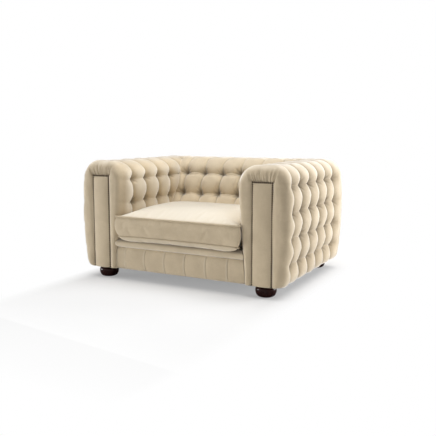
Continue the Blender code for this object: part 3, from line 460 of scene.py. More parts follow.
def tufting(across, around, upward, pleats, rows, pitch, cut, seed, drift=0.0, flank_shade_reach=0.018, run_out=0.4, spread=1.0):
    """Depth of the cover below the crown, and the painted shade of its folds and tufts.

    depth = pleat * fold(u) + row * fold(w) * (1 - fold(u)) + dimple + fans. Here u and w are the distances to the
    nearest pleat and row as shares of their pitch, fold is a superellipse, and the dimple of a tuft is
    exp(-(p^1.4 + q^1.4)) of the distances p across and q up, each over its own reach times spread.
    cut holds the depths: pleat, dimple, row and the small second fold beside a pleat.
    drift slants the pleats, and the rows end within run_out pitches of the last pleat.
    The side of a puff that turns to the front is darkened by painted shade over a set length from its pleat."""
    rng = np.random.default_rng(seed)
    sway = rng.normal(0.0, PLEAT_SWAY, (len(pleats), 2))
    phase = rng.uniform(0.0, 2 * math.pi, (len(pleats), 2))
    wave = around[:, None, None] / np.array(SWAY_LENGTHS) * 2 * math.pi + phase[None]
    slant = np.broadcast_to(drift, around.shape)[:, None]
    lines = pleats[None, :] + np.sum(sway[None] * np.sin(wave), axis=-1) + slant
    side, pick = nearest_line(across[:, None], lines)
    u = np.minimum(np.abs(side) / pitch, 0.5)

    slip = rng.normal(0.0, TUFT_SLIP, (len(pleats), len(rows)))
    rise, row_pick = nearest_line(around, rows)
    row_pick = row_pick[None, :]
    next_pick = np.clip(pick + np.sign(side).astype(int), 0, len(pleats) - 1)
    rise = rise[None, :] - slip[pick, row_pick] * (1.0 - u) - slip[next_pick, row_pick] * u
    rise = rise * upward[None, :]
    w = np.clip(np.where(rise > 0.0, rise / PUFF_ABOVE, -rise / PUFF_BELOW) / ROW_PITCH, 0.0, 0.5)
    variety = rng.normal(0.0, PUFF_VARIETY, (len(pleats) + 1, len(rows) + 2))
    fullness = 1.0 + variety[pick + (side > 0.0), row_pick]

    pleat_depth, dimple, row_depth, second = cut
    fold = crease(u, 2.0)
    beside = np.clip(np.maximum(pleats[0] - across, across - pleats[-1]) / pitch, 0.0, 1.0)[:, None]
    row_dip = row_depth * crease(w, 1.8) * (1.0 - fold) * fullness * (1.0 - smoothstep(beside / run_out))
    away = ((np.abs(side) / TUFT_BESIDE) ** TUFT_POWER
            + (np.abs(rise) / np.where(rise > 0.0, TUFT_ABOVE, TUFT_BELOW)) ** TUFT_POWER)
    away = away / spread ** TUFT_POWER
    depth = pleat_depth * fold + row_dip + dimple * np.exp(-away)
    depth = depth + second * bell(side + SECOND_FOLD_AT, SECOND_FOLD_WIDE) * smoothstep(4.0 * w - 0.3)

    smooth_depth = depth.copy()
    angles = np.concatenate([np.linspace(-FAN_ANGLE, FAN_ANGLE, 6), [math.pi - FAN_ANGLE, math.pi + FAN_ANGLE]])
    for k, pleat_at in enumerate(pleats):
        band = np.flatnonzero(np.abs(across - pleat_at) < FAN_ROOM[0])
        for row_at in rows:
            reach = np.flatnonzero(np.abs(around - row_at) < FAN_ROOM[1])
            spot = np.ix_(band, reach)
            here_side = across[band][:, None] - lines[reach, k][None, :]
            for angle in angles + rng.normal(0.0, FAN_STRAY, len(angles)):
                length, strength = rng.uniform(*FAN_LENGTHS), rng.uniform(*FAN_DEPTHS)
                depth[spot] += rays(here_side, rise[spot], angle, FAN_START, length, strength, FAN_WIDE)
    # Painted shade: along the side of each puff that turns to the front, in each tuft and in the fan folds.
    flank = np.where(side > 0.0, np.exp(-side / flank_shade_reach), np.exp(side / FLANK_SHADE_BEHIND))
    shade = FLANK_SHADE * flank + TUFT_SHADE * np.exp(-away * 1.5) + FAN_SHADE * (depth - smooth_depth)
    return depth, np.clip(shade, 0.0, 1.0)


def add_painted_light(fold, share):
    """Painted highlight, below 0, by that share wherever the cover lies in no fold; a share below 0 paints shade."""
    return fold - share * (1.0 - np.clip(2.5 * fold, 0.0, 1.0))


# %% [markdown]
# ## The arm pads
#
# Each arm is a foam-covered box with a roll on top. Its section leans in over the seat on one side and swells on the
# other, and at both ends the section shrinks on a quarter circle, which rounds the front and the rear.
# On the front the cover is gathered in small folds above the facing panel, and the nails draw it in beside the panel.
# Behind the inside corner the arm is flat, because the back pad butts against it there.

# %% Outlines of the arms and the back
def arm_inner_x(z):
    """The inside face leans in over the seat by a smooth step from foot to first tuft row."""
    return ARM_FOOT_IN - ARM_OVERHANG_IN * smoothstep((z - BASE_Z) / (TOP_ROW - BASE_Z))


def arm_outer_x(z):
    """The outside face swells as 0.8 of half a sine wave and rolls under on a quarter ellipse at its foot."""
    under = np.clip(1.0 - (z - BASE_Z) / UNDER_ROLL_HEIGHT, 0.0, 1.0)
    swell = np.sin(0.8 * math.pi * np.clip((z - BASE_Z) / (TOP_ROW - BASE_Z), 0.0, 1.0))
    return ARM_FOOT_OUT + ARM_OVERHANG_OUT * swell - UNDER_ROLL * (1.0 - np.sqrt(1.0 - under ** 2))


def back_front_y(z):
    """The inside back leans at a fixed angle up to the first tuft row and rolls over on a quarter ellipse."""
    rise = np.clip((z - TOP_ROW) / TOP_ROW_DROP, 0.0, 1.0)
    roll = rise * TOP_ROW_DROP * math.tan(BACK_LEAN) + BACK_ROUND * (1.0 - np.sqrt(1.0 - rise ** 2))
    return FRONT_Y + SEAT_DEPTH + (np.minimum(z, TOP_ROW) - SEAT_DEPTH_AT) * math.tan(BACK_LEAN) + roll


def arc_length(across, up):
    """Length along a section from its first point."""
    return np.concatenate([[0.0], np.cumsum(np.hypot(np.diff(across), np.diff(up)))])


ARM_PLEATS = FRONT_Y + FIRST_COLUMN + COLUMN_PITCH_ARM * np.arange(6)
BACK_PLEATS = COLUMN_PITCH_BACK * (np.arange(6) - 2.5)
INSIDE_ROWS = TOP_ROW - ROW_PITCH * np.arange(2)
BACK_ROWS = TOP_ROW + BACK_ROW_LIFT - BACK_ROW_PITCH * np.arange(2)
OUTSIDE_ROWS = TOP_ROW - ROW_PITCH * np.arange(4)
print("tufts: %d on an arm, %d on the back" % (6 * (len(INSIDE_ROWS) + len(OUTSIDE_ROWS)), 6 * len(BACK_ROWS)))


# %% The smooth crown of an arm
FLAT_RINGS, FLAT_INSET, REAR_INSETS = 11, 0.086, (0.066, 0.074, 0.084)
LEAN_START, LEAN_REACH = 0.016, 0.058
SQUARE_START, SQUARE_REACH = 0.012, 0.030
BUTT_START, BUTT_REACH, BUTT_TUCK = 0.002, 0.014, 0.014


def arm_crown():
    """Points (stations, around, 3) of the right arm without tufts, with the arc length around and the marks on it.

    The section runs up the inside, over the top and down the outside. Along Y it is the seat section, whose inside
    leans over the seat; behind the face of the back it turns into the join section, which is square there."""
    inner_z = knots_dense([BASE_Z, RAIL_TOP, *INSIDE_ROWS[::-1]], [6, 30, 34])
    outer_z = knots_dense([BASE_Z, BASE_Z + UNDER_ROLL_HEIGHT, *OUTSIDE_ROWS[::-1]], [12, 18, 32, 32, 32])[::-1]
    turn = np.linspace(0.0, math.pi / 2, 41)[1:]
    left = arm_inner_x(inner_z[-1]) + ARM_ROUND_IN * (1.0 - np.cos(turn))
    right = (arm_outer_x(outer_z[:1]) - ARM_ROUND_OUT * (1.0 - np.cos(turn)))[::-1]
    flat = np.linspace(left[-1], right[0], 36)[1:-1]
    top_z = TOP_ROW + TOP_ROW_DROP * np.sin(turn)
    outside_z = np.concatenate([np.full(len(flat), CHAIR_HEIGHT), top_z[::-1], outer_z])
    outside_x = np.concatenate([right, arm_outer_x(outer_z)])
    seat_x = np.concatenate([arm_inner_x(inner_z), left, flat, outside_x])
    seat_z = np.concatenate([inner_z, top_z, outside_z])
    join_left = JOIN_X + 0.15 * ARM_ROUND_IN * (1.0 - np.cos(turn))
    join_flat = np.linspace(join_left[-1], right[0], 36)[1:-1]
    join_x = np.concatenate([np.full(len(inner_z), JOIN_X), join_left, join_flat, outside_x])
    join_z = np.concatenate([inner_z, TOP_ROW + TOP_ROW_DROP * np.sin(turn) ** 0.25, outside_z])
    meet_y = back_front_y(np.concatenate([inner_z, TOP_ROW + TOP_ROW_DROP * np.sin(turn) ** 0.6, outside_z]))
    rest = np.zeros(len(outside_z))
    inward = np.concatenate([np.ones(len(inner_z) + len(turn)), 1.0 - smoothstep(np.linspace(0.0, 1.0, len(flat))),
                             np.zeros(len(outside_x))])
    lean = np.concatenate([(ARM_FOOT_IN - arm_inner_x(inner_z)) / ARM_OVERHANG_IN, np.cos(turn), rest])
    over = np.concatenate([np.zeros(len(inner_z)), np.sin(turn), rest + 1.0])

    # Stations: the flat front, its rounded edge, the body from pleat to pleat, the rounded rear and its flat end.
    angle = np.linspace(0.0, math.pi / 2, 17)
    body = knots_dense([FRONT_Y + FRONT_ROUND, *ARM_PLEATS, REAR_Y - REAR_ROUND], [16, 32, 32, 32, 32, 32, 20])
    front_round = FRONT_ROUND_IN + (FRONT_ROUND - FRONT_ROUND_IN) * over
    front_y = FRONT_Y + front_round * (1.0 - np.cos(angle[:-1]))[:, None]
    share = ((body[:16] - body[0]) / (ARM_PLEATS[0] - body[0]))[:, None]
    first_y = (FRONT_Y + front_round) * (1.0 - share) + ARM_PLEATS[0] * share
    rear_y = np.concatenate([body[16:], REAR_Y - REAR_ROUND * (1.0 - np.cos(angle[::-1][1:])),
                             np.full(len(REAR_INSETS), REAR_Y)])
    y = np.concatenate([np.full((FLAT_RINGS, len(over)), FRONT_Y), front_y, first_y,
                        np.repeat(rear_y[:, None], len(over), axis=1)])
    flat_shrink = FLAT_INSET + (front_round - FLAT_INSET) * np.linspace(0.0, 1.0, FLAT_RINGS + 1)[:-1, None]
    rear_shrink = np.concatenate([np.zeros(len(body)), REAR_ROUND * (1.0 - np.sin(angle[::-1][1:])), REAR_INSETS])
    shrink = np.concatenate([flat_shrink, front_round * (1.0 - np.sin(angle[:-1]))[:, None],
                             np.repeat(rear_shrink[:, None], len(over), axis=1)])

    # Where the back butts against it, the inside is square and lies a little further out.
    square = smoothstep((y - meet_y - SQUARE_START) / SQUARE_REACH)
    butted = inward * smoothstep((y - meet_y + BUTT_START) / BUTT_REACH)
    upright = 1.0 - smoothstep((y - FRONT_Y - LEAN_START) / LEAN_REACH)
    x = seat_x + ARM_OVERHANG_IN * (1.0 - OVERHANG_FRONT) * upright * lean + (join_x - seat_x) * square
    z = seat_z + (join_z - seat_z) * square
    run, rise = np.gradient(x, axis=1), np.gradient(z, axis=1)
    level = smoothstep((z - BASE_Z - UNDER_ROLL_HEIGHT) / 0.03)
    size = np.hypot(run * level, rise)
    x = x + rise / size * shrink * (1.0 - square * inward) + BUTT_TUCK * butted * (1.0 - square)
    z = np.maximum(z - run * level / size * shrink, BASE_Z)
    z = z - square * inward * np.maximum(z - CHAIR_HEIGHT + shrink, 0.0)
    z[:, [0, -1]] = BASE_Z
    arc = arc_length(seat_x, seat_z)
    inside = np.arange(len(arc)) < len(inner_z) + len(turn) + len(flat) // 2
    marks = np.concatenate([np.interp(INSIDE_ROWS[::-1], inner_z, arc[:len(inner_z)]),
                            np.interp(OUTSIDE_ROWS, outer_z[::-1], arc[-len(outer_z):][::-1])])
    return np.stack([x, y, z], -1), y.mean(axis=1), shrink, arc, marks, inside, seat_z, butted


# %% Gathers above the facing panel, and the groove beside it
GATHERS, GATHER_HALF, GATHER_STRAY, GATHER_WIDE = 15, 0.062, 0.0022, 0.0031
GATHER_LENGTHS, GATHER_DEPTHS, GATHER_FAN = (0.050, 0.105), (0.0040, 0.0088), 5.0
GROOVE_DEPTH, GROOVE_REACH = 0.015, 0.034


def on_front(points, reach):
    """1 on the front of an arm, fading to 0 at that reach behind it."""
    return smoothstep((FRONT_Y + reach - points[..., 1]) / reach)


def gathers(points, seed):
    """Depth of the small folds over each facing: narrow bells across a coordinate that fans out with height."""
    rng = np.random.default_rng(seed)
    above = points[..., 2] - FACING_TOP
    fan = (points[..., 0] - ARM_MIDDLE) / (1.0 + GATHER_FAN * np.clip(above, 0.0, 0.08))
    total = np.zeros(points.shape[:2])
    for place in np.linspace(-GATHER_HALF, GATHER_HALF, GATHERS) + rng.normal(0.0, GATHER_STRAY, GATHERS):
        reach, strength = rng.uniform(*GATHER_LENGTHS), rng.uniform(*GATHER_DEPTHS)
        fade = smoothstep((above + 0.004) / 0.008) * smoothstep((reach - above) / reach)
        total += strength * bell(fan - place, GATHER_WIDE) * fade
    return total * on_front(points, 0.045)


def facing_groove(points):
    """Depth of the arm front beside the facing, where the nails draw it in: a quarter ellipse of the distance."""
    aside = np.maximum(np.abs(points[..., 0] - ARM_MIDDLE) - FACING_HALF, 0.0)
    above = np.maximum(points[..., 2] - FACING_TOP, 0.0)
    near = np.clip(1.0 - np.hypot(aside, above) / GROOVE_REACH, 0.0, 1.0)
    return GROOVE_DEPTH * (1.0 - np.sqrt(1.0 - near ** 2)) * on_front(points, 0.030)


# %% Draw the cover of one arm
ARM_PLEAT, ARM_DIMPLE, ARM_ROW_IN, ARM_ROW_OUT, ARM_SECOND = 0.029, 0.030, 0.0095, 0.012, 0.0025
INSIDE_SPREAD, INSIDE_SHADE, TOP_EASE = 0.70, 0.70, 0.45
SLANT_FOOT, SLANT_INSIDE, SLANT_TOP = 0.038, 0.009, 0.037
INSIDE_PAINTED_HIGHLIGHT, TOP_ROLL_PAINTED_SHADE, FRONT_EDGE_PAINTED_HIGHLIGHT, GATHER_SHADE = 0.62, 0.10, 0.30, 26.0
FRONT_FULLER, FRONT_FULL_AT, FRONT_FULL_WIDE = 0.006, 0.034, 0.026
ROW_PULL, ROW_PULL_WIDE, ARM_LUMPS, ABOVE_TOP = 0.0020, 0.016, 0.0009, 0.002


def arm_cover(seed):
    """The crown of the right arm moved in along its normals by the tufting, the gathers, the groove and the lumps."""
    points, y, shrink, arc, marks, inside, crown_z, butted = arm_crown()
    normal = surface_normals(points, points - points.mean(axis=1, keepdims=True))
    normal[:FLAT_RINGS] = [0.0, -1.0, 0.0]
    slant = (SLANT_FOOT - SLANT_INSIDE * smoothstep((arc - marks[0]) / ROW_PITCH)
             - SLANT_TOP * smoothstep((arc - marks[1]) / (marks[2] - marks[1])))
    cut = (ARM_PLEAT, ARM_DIMPLE, np.where(inside, ARM_ROW_IN, ARM_ROW_OUT), ARM_SECOND)
    depth, fold = tufting(y, arc, np.where(inside, 1.0, -1.0), ARM_PLEATS, marks, COLUMN_PITCH_ARM, cut, seed, slant,
                          spread=np.where(inside, INSIDE_SPREAD, 1.0))
    sink = smoothstep((crown_z - DECK_TOP) / (INSIDE_ROWS[-1] - DECK_TOP))
    roll = smoothstep((crown_z - TOP_ROW) / TOP_ROW_DROP)
    seen = np.where(inside, sink, 1.0)
    beyond = np.maximum(0.0, np.maximum(ARM_PLEATS[0] - y, y - ARM_PLEATS[-1]))
    ends = 1.0 - smoothstep((beyond - 0.3 * COLUMN_PITCH_ARM) / (0.35 * COLUMN_PITCH_ARM))
    strength = (seen * (1.0 - TOP_EASE * roll))[None, :] * ends[:, None] * (1.0 - butted)
    depth, fold = depth * strength, fold * strength * np.where(inside, INSIDE_SHADE, 1.0)

    # Painted light: the inside face is painted paler, the top roll a little darker, and a painted highlight runs along
    # the top of the front.
    painted_light = np.where(inside, INSIDE_PAINTED_HIGHLIGHT * sink, 0.0) * (1.0 - roll) - TOP_ROLL_PAINTED_SHADE * roll
    behind = smoothstep((points[..., 1] - FRONT_Y - 0.040) / 0.030)
    front_edge = smoothstep((points[..., 2] - CHAIR_HEIGHT + 0.030) / 0.020) * (1.0 - behind)
    fold = add_painted_light(fold, painted_light[None, :] * behind + FRONT_EDGE_PAINTED_HIGHLIGHT * front_edge)

    pull, _ = nearest_line(arc, marks)
    full = np.where(inside, 0.0, smoothstep(np.abs(pull) / (0.4 * ROW_PITCH)))
    depth = depth - FRONT_FULLER * full[None, :] * bell(y - ARM_PLEATS[0] + FRONT_FULL_AT, FRONT_FULL_WIDE)[:, None]
    smooth_front = smoothstep((ARM_PLEATS[0] - y) / 0.03)[:, None] * smoothstep((0.075 - shrink) / 0.03)
    depth = depth + ROW_PULL * bell(pull, ROW_PULL_WIDE)[None, :] * smooth_front * seen
    gathered = gathers(points, seed)
    # Painted shade in the gathers above the facing.
    fold = fold + GATHER_SHADE * gathered
    uneven = lumps(points[..., 1] + points[..., 0], arc[None, :], ARM_LUMPS, 0.11, seed)
    depth = depth + gathered + facing_groove(points) + uneven * smoothstep((0.08 - shrink) / 0.02)
    points = points - normal * depth[..., None]
    points[..., 2] = np.clip(points[..., 2], BASE_Z, CHAIR_HEIGHT + ABOVE_TOP)
    points[:, [0, -1], 2] = BASE_Z
    return add_columns(points, fold, bridge(points[:, -1:], points[:, :1], 12))


for side, sign, seed in (("left", -1.0, 11), ("right", 1.0, 5)):
    points, fold = arm_cover(seed)
    arm = loft(side + "_arm_cover", points * np.array([sign, 1.0, 1.0]), cover, fold)
    dress(arm, "chair", "velvet", side + "_arm_pad")

# %% [markdown]
# ## The back pad
#
# The inside back leans away from the seat and rolls over at the top into the plain outside back.
# It has the same tufting as the arms, but the rows dip deeper here, because the cover is folded along them too.
# It runs from arm to arm, and its ends are rounded off where they meet the arms.

# %% Draw the cover of the back
BACK_CUT, BACK_FLANK_SHADE_REACH, BACK_RUN_OUT, BACK_SPREAD = (0.022, 0.028, 0.015, 0.0036), 0.008, 1.2, 0.80
BACK_END_DEPTH, BACK_END_WIDE, BACK_LUMPS, BACK_TOP_EASE = 0.016, 0.060, 0.0009, 0.35
LOW_FOLDS, LOW_FOLD_WIDE = ((-0.012, 0.0048), (-0.022, 0.0030)), 0.0036
BACK_SHADE, BACK_PAINTED_HIGHLIGHT = 0.90, 0.18


def back_cover(seed):
    """Sections (y, z) of the back from arm to arm, moved in along their normals by the tufting."""
    x = knots_dense([-BACK_HALF, *BACK_PLEATS, BACK_HALF], [22, 38, 38, 38, 38, 38, 22])
    face_z = knots_dense([BACK_BOTTOM, DECK_TOP, *BACK_ROWS[::-1]], [3, 40, 44])
    start = math.asin((BACK_ROWS[0] - TOP_ROW) / TOP_ROW_DROP)
    rise_z = TOP_ROW + TOP_ROW_DROP * np.sin(np.linspace(start, math.pi / 2, 37)[1:])
    over = np.linspace(0.0, math.pi / 2, 15)
    over_y = REAR_Y - REAR_ROUND * (1.0 - np.sin(over))
    over_z = CHAIR_HEIGHT - REAR_ROUND * (1.0 - np.cos(over))
    level = np.linspace(back_front_y(rise_z[-1:])[0], over_y[0], 14)[1:-1]
    y = np.concatenate([back_front_y(face_z), back_front_y(rise_z), level, over_y])
    z = np.concatenate([face_z, rise_z, np.full(len(level), CHAIR_HEIGHT), over_z])
    arc = arc_length(y, z)
    marks = np.interp(BACK_ROWS[::-1], face_z, arc[:len(face_z)])
    points = grid_points(x[:, None], y[None, :], z[None, :])
    normal = surface_normals(points, np.array([0.0, -1.0, 0.6]))
    depth, fold = tufting(x, arc, np.ones(len(arc)), BACK_PLEATS, marks, COLUMN_PITCH_BACK, BACK_CUT, seed,
                          flank_shade_reach=BACK_FLANK_SHADE_REACH, run_out=BACK_RUN_OUT, spread=BACK_SPREAD)
    depth = depth + BACK_END_DEPTH * crease((BACK_HALF - np.abs(x))[:, None] / BACK_END_WIDE)
    below, _ = nearest_line(arc, marks)
    share = np.abs(nearest_line(x, BACK_PLEATS)[0])[:, None] / COLUMN_PITCH_BACK
    for place, strength in LOW_FOLDS:
        line = bell(below - place, LOW_FOLD_WIDE)[None, :]
        depth = depth + strength * line * smoothstep((share - 0.12) / 0.2)
    sink = smoothstep((z - DECK_TOP) / (BACK_ROWS[-1] - DECK_TOP))
    top = 1.0 - BACK_TOP_EASE * smoothstep((z - TOP_ROW) / TOP_ROW_DROP)
    behind = smoothstep((REAR_Y - y) / (2.0 * REAR_ROUND))
    strength = (sink * top * behind)[None, :]
    # Painted light: the painted shade of the folds is a little weaker, and the cover between folds is painted paler.
    fold = BACK_SHADE * fold - BACK_PAINTED_HIGHLIGHT * (1.0 - np.clip(2.5 * fold, 0.0, 1.0))
    depth = depth * strength + lumps(points[..., 0], arc[None, :], BACK_LUMPS, 0.10, seed) * behind[None, :]
    points = points - normal * depth[..., None]
    points[:, 0, 2] = BACK_BOTTOM
    rear = np.linspace(over_z[-1], BACK_BOTTOM, 12)[1:]
    wall = grid_points(x[:, None], REAR_Y, rear[None, :])
    return add_columns(points, fold * strength, wall, bridge(wall[:, -1:], points[:, :1], 8))


points, fold = back_cover(23)
back = loft("back_cover", points, cover, fold)
dress(back, "chair", "velvet", "back_pad")

# %% [markdown]
# ## The loose seat cushion
#
# A box cushion is six panels: a top and a bottom that crown, and four sides called the boxing. A cord of the same
# velvet is sewn into the two seams. We make the six panels as grids, sew them into one bag by merging their edges,
# and let a cloth simulation blow the bag up while the seams are held, which gives the slack of real cloth.

# %% The bag of the cushion
CUSHION_CROWN, CUSHION_SAG, FRONT_DROOP, BOXING_SWELL = 0.043, 0.0130, 0.010, 0.015
CUSHION_FLARE, CORNER_FLARE, SIDE_BOW, SEAM_BOW = 0.018, 0.026, 0.005, 0.006
CORNER_CUT, CORNER_CUT_LOW, UNDERSIDE_PAINTED_HIGHLIGHT, ON_EDGE = 0.020, 0.018, 0.28, 0.999


def cushion_plan(a, b, share):
    """Plan position of a, b in -1..1 at a height share from the lower seam to the upper one."""
    a, b = np.sin(0.5 * math.pi * a), np.sin(0.5 * math.pi * b)
    half = float(arm_inner_x(SEAM_HIGH)) - SOFT_GAP - PIPING_RADIUS * 2 - GAP
    front = FRONT_Y - CUSHION_PROUD + PIPING_RADIUS * 2 + GAP
    rear = back_front_y(SEAM_LOW + (SEAM_HIGH - SEAM_LOW) * share) - SOFT_GAP - PIPING_RADIUS * 2 - GAP
    corner = CORNER_CUT + CORNER_CUT_LOW * (1.0 - share) ** 3
    y = front + (rear - front) * (0.5 + 0.5 * b * (1.0 - corner * np.abs(a) ** 20))
    flare = (CUSHION_FLARE * smoothstep((FRONT_Y + 0.058 - y) / 0.050)
             + CORNER_FLARE * smoothstep((FRONT_Y + 0.010 - y) / 0.019))
    x = a * (half + flare - SIDE_BOW * (1.0 - b * b)) * (1.0 - corner * np.abs(b) ** 16)
    return x, y + SIDE_BOW * (1.0 - a * a) * np.clip(-b, 0.0, 1.0) ** 8


def seam_height(a, share):
    """Height at a share from the lower seam to the upper one; the lower seam bows up between its ends."""
    low = SEAM_LOW + SEAM_BOW * (1.0 - np.abs(a) ** 2.5)
    return low + (SEAM_HIGH - low) * share


def cushion_bag(counts):
    """Six grids on a cube, sewn by merging equal points; returns a, b, c in -1..1 and the faces."""
    index = np.stack(np.meshgrid(*[np.arange(n + 1) for n in counts], indexing="ij"), -1)
    number = -np.ones(index.shape[:3], int)
    shell = np.any((index == 0) | (index == np.array(counts)), axis=-1)
    number[shell] = np.arange(shell.sum())
    faces = []
    for axis in range(3):
        for end in (0, -1):
            wall = np.take(number, end, axis=axis)
            quad = np.stack([wall[:-1, :-1], wall[1:, :-1], wall[1:, 1:], wall[:-1, 1:]], -1).reshape(-1, 4)
            faces.append(quad if (end == -1) != (axis == 1) else quad[:, ::-1])
    return index[shell] / np.array(counts) * 2.0 - 1.0, np.concatenate(faces)


def cushion_form(a, b, c):
    """The bag in place: plan by cushion_plan, a dome on top and below, and boxing that bulges between the seams."""
    share = c * 0.5 + 0.5
    x, y = cushion_plan(a, b, share)
    boxing = np.where(np.abs(c) < ON_EDGE, np.sin(math.pi * share), 0.0)
    x = x + np.sign(a) * (np.abs(a) > ON_EDGE) * boxing * 0.5 * BOXING_SWELL
    y = y + np.sign(b) * (np.abs(b) > ON_EDGE) * boxing * np.where(b < 0.0, BOXING_SWELL, 0.3 * BOXING_SWELL)
    across, along = np.abs(np.sin(0.5 * math.pi * a)), np.abs(np.sin(0.5 * math.pi * b))
    dome = (1.0 - across ** 7) ** 0.6 * np.where(b < 0.0, (1.0 - along ** 2.6) ** 0.7, (1.0 - along ** 6) ** 0.7)
    belly = np.cos(0.5 * math.pi * np.abs(a) ** 3) * np.cos(0.5 * math.pi * np.abs(b) ** np.where(b < 0.0, 5.0, 3.0))
    z = seam_height(a, share)
    droop = CUSHION_SAG + FRONT_DROOP * smoothstep((FRONT_Y + 0.020 - y) / 0.022)
    lower = np.where(c < -ON_EDGE, z - droop * np.minimum(1.3 * belly, 1.0), z)
    return np.stack([x, y, np.where(c > ON_EDGE, z + CUSHION_CROWN * dome, lower)], -1)


grid, faces = cushion_bag((84, 64, 14))
points = cushion_form(*grid.T)
# Painted highlight: the top panel is painted paler away from its seams, and the underside a little paler all over.
inset = smoothstep((1.0 - np.abs(grid[:, :2]).max(axis=1)) / 0.25)
painted_light = np.where(grid[:, 2] > ON_EDGE, -inset, np.where(grid[:, 2] < -ON_EDGE, -UNDERSIDE_PAINTED_HIGHLIGHT, 0.0))
cushion = put_mesh("seat_cushion_cover", points, [faces], cover, painted_light)
soften = cushion.modifiers.new("Soften", "SUBSURF")
soften.levels = soften.render_levels = 1
dress(cushion, "cushion", "velvet", "seat_cushion")

# %% Let the cushion fill
PRESSURE, CLOTH_SLACK, FURTHEST_MOVE, FRAMES = 4.0, 0.006, 0.022, 20


def settle(obj, held):
    """Cloth held at some points is blown up from inside. No point moves further than the furthest move r:
    a move of length d becomes r * tanh(d / r). The simulation is applied, so only the shape stays."""
    group = obj.vertex_groups.new(name="held")
    group.add(held.tolist(), 1.0, "REPLACE")
    cloth = obj.modifiers.new("Settle", "CLOTH")
    cloth.settings.quality = 6
    cloth.settings.mass = 0.25
    cloth.settings.tension_stiffness = cloth.settings.compression_stiffness = 12.0
    cloth.settings.bending_stiffness = 0.4
    cloth.settings.use_pressure = True
    cloth.settings.uniform_pressure_force = PRESSURE
    cloth.settings.shrink_min = -CLOTH_SLACK
    cloth.settings.effector_weights.gravity = 0.0
    cloth.settings.vertex_group_mass = "held"
    cloth.point_cache.frame_start, cloth.point_cache.frame_end = 1, FRAMES
    before = np.empty(len(obj.data.vertices) * 3, np.float32)
    obj.data.vertices.foreach_get("co", before)
    after = np.empty_like(before)
    for frame_number in range(1, FRAMES + 1):
        bpy.context.scene.frame_set(frame_number)
    obj.evaluated_get(bpy.context.evaluated_depsgraph_get()).data.vertices.foreach_get("co", after)
    obj.modifiers.remove(cloth)
    obj.vertex_groups.remove(group)
    bpy.context.scene.frame_set(1)
    move = (after - before).reshape(-1, 3)
    far = np.maximum(np.linalg.norm(move, axis=1, keepdims=True), 1e-9)
    move *= FURTHEST_MOVE * np.tanh(far / FURTHEST_MOVE) / far
    obj.data.vertices.foreach_set("co", before + move.ravel())
    obj.data.update()
    print(obj.name, "moved by up to %.1f mm" % (1000 * np.linalg.norm(move, axis=1).max()))


soften.show_viewport = False
on_seam = (np.abs(grid[:, 2]) > ON_EDGE) & (np.abs(grid[:, :2]).max(axis=1) > ON_EDGE)
settle(cushion, np.flatnonzero(on_seam))
soften.show_viewport = True

# %% The cords in its seams
def seam(share, count=90):
    """Closed path of one seam, moved out by most of the cord's radius along the mitre of its neighbours."""
    t = np.linspace(-1.0, 1.0, count + 1)[:-1]
    one = np.ones(count)
    around = np.concatenate([t, one, -t, -one])
    plan = np.column_stack(cushion_plan(around, np.concatenate([-one, t, one, -t]), share))
    run = np.roll(plan, -1, axis=0) - plan
    normal = np.column_stack([run[:, 1], -run[:, 0]]) / np.hypot(run[:, 0], run[:, 1])[:, None]
    before = np.roll(normal, 1, axis=0)
    plan = plan + (normal + before) / (1.0 + np.sum(normal * before, 1, keepdims=True)) * (PIPING_RADIUS * 0.8)
    return np.column_stack([plan, seam_height(around, share)])


def cord_rings(path, radius, around=12):
    """A circle carried along a closed path, in the plane of the path's normal and Z."""
    run = np.roll(path, -1, axis=0) - np.roll(path, 1, axis=0)
    run /= np.linalg.norm(run, axis=1, keepdims=True)
    out = np.cross(run, [0.0, 0.0, 1.0])
    turn = np.linspace(0.0, 2 * math.pi, around + 1)[:-1]
    return (path[:, None] + radius * (np.cos(turn)[None, :, None] * out[:, None]
                                      + np.sin(turn)[None, :, None] * np.cross(out, run)[:, None]))


for node, share in (("cushion_piping_top", 1.0), ("cushion_piping_bottom", 0.0)):
    cord = loft(node + "_cord", cord_rings(seam(share), PIPING_RADIUS), welt, ring=True)
    dress(cord, "cushion", "piping", node)

# %% [markdown]
# ## The front border, the roll and the deck
#
# Below the cushion a padded roll covers the edge of the deck, and under it a tight border closes the front.
# The border is laid in flat pleats, so its seams are narrow folds that drop on one side.
# The deck under the cushion is a thin pad in plain cloth: nobody sees it until the cushion is drawn out.

# %% Draw the border
BORDER_FACE, BORDER_EASE, BORDER_CROWN, BORDER_LUMPS = 0.012, 0.008, 0.003, 0.0006
BORDER_SHIFT, KNOT_SHIFT, BORDER_BOW_FIRST, BORDER_BOW_LAST = 0.014, 0.011, 0.0105, 0.0040
LAP_BESIDE, LAP_DROP, LAP_STEP = 0.003, 0.0014, 0.0020
LAP_SHADE, LAP_PAINTED_HIGHLIGHT, BORDER_PAINTED_HIGHLIGHT, ARM_CLEAR = 0.24, 0.46, 0.02, 0.001


def between_arms(y, z):
    """Half the width between the arms at depth y and height z: the inside face plus the quarter-circle front edge."""
    ahead = np.clip(FRONT_Y + FRONT_ROUND_IN - y, 0.0, FRONT_ROUND_IN)
    return arm_inner_x(z) + FRONT_ROUND_IN - np.sqrt(FRONT_ROUND_IN ** 2 - ahead ** 2)


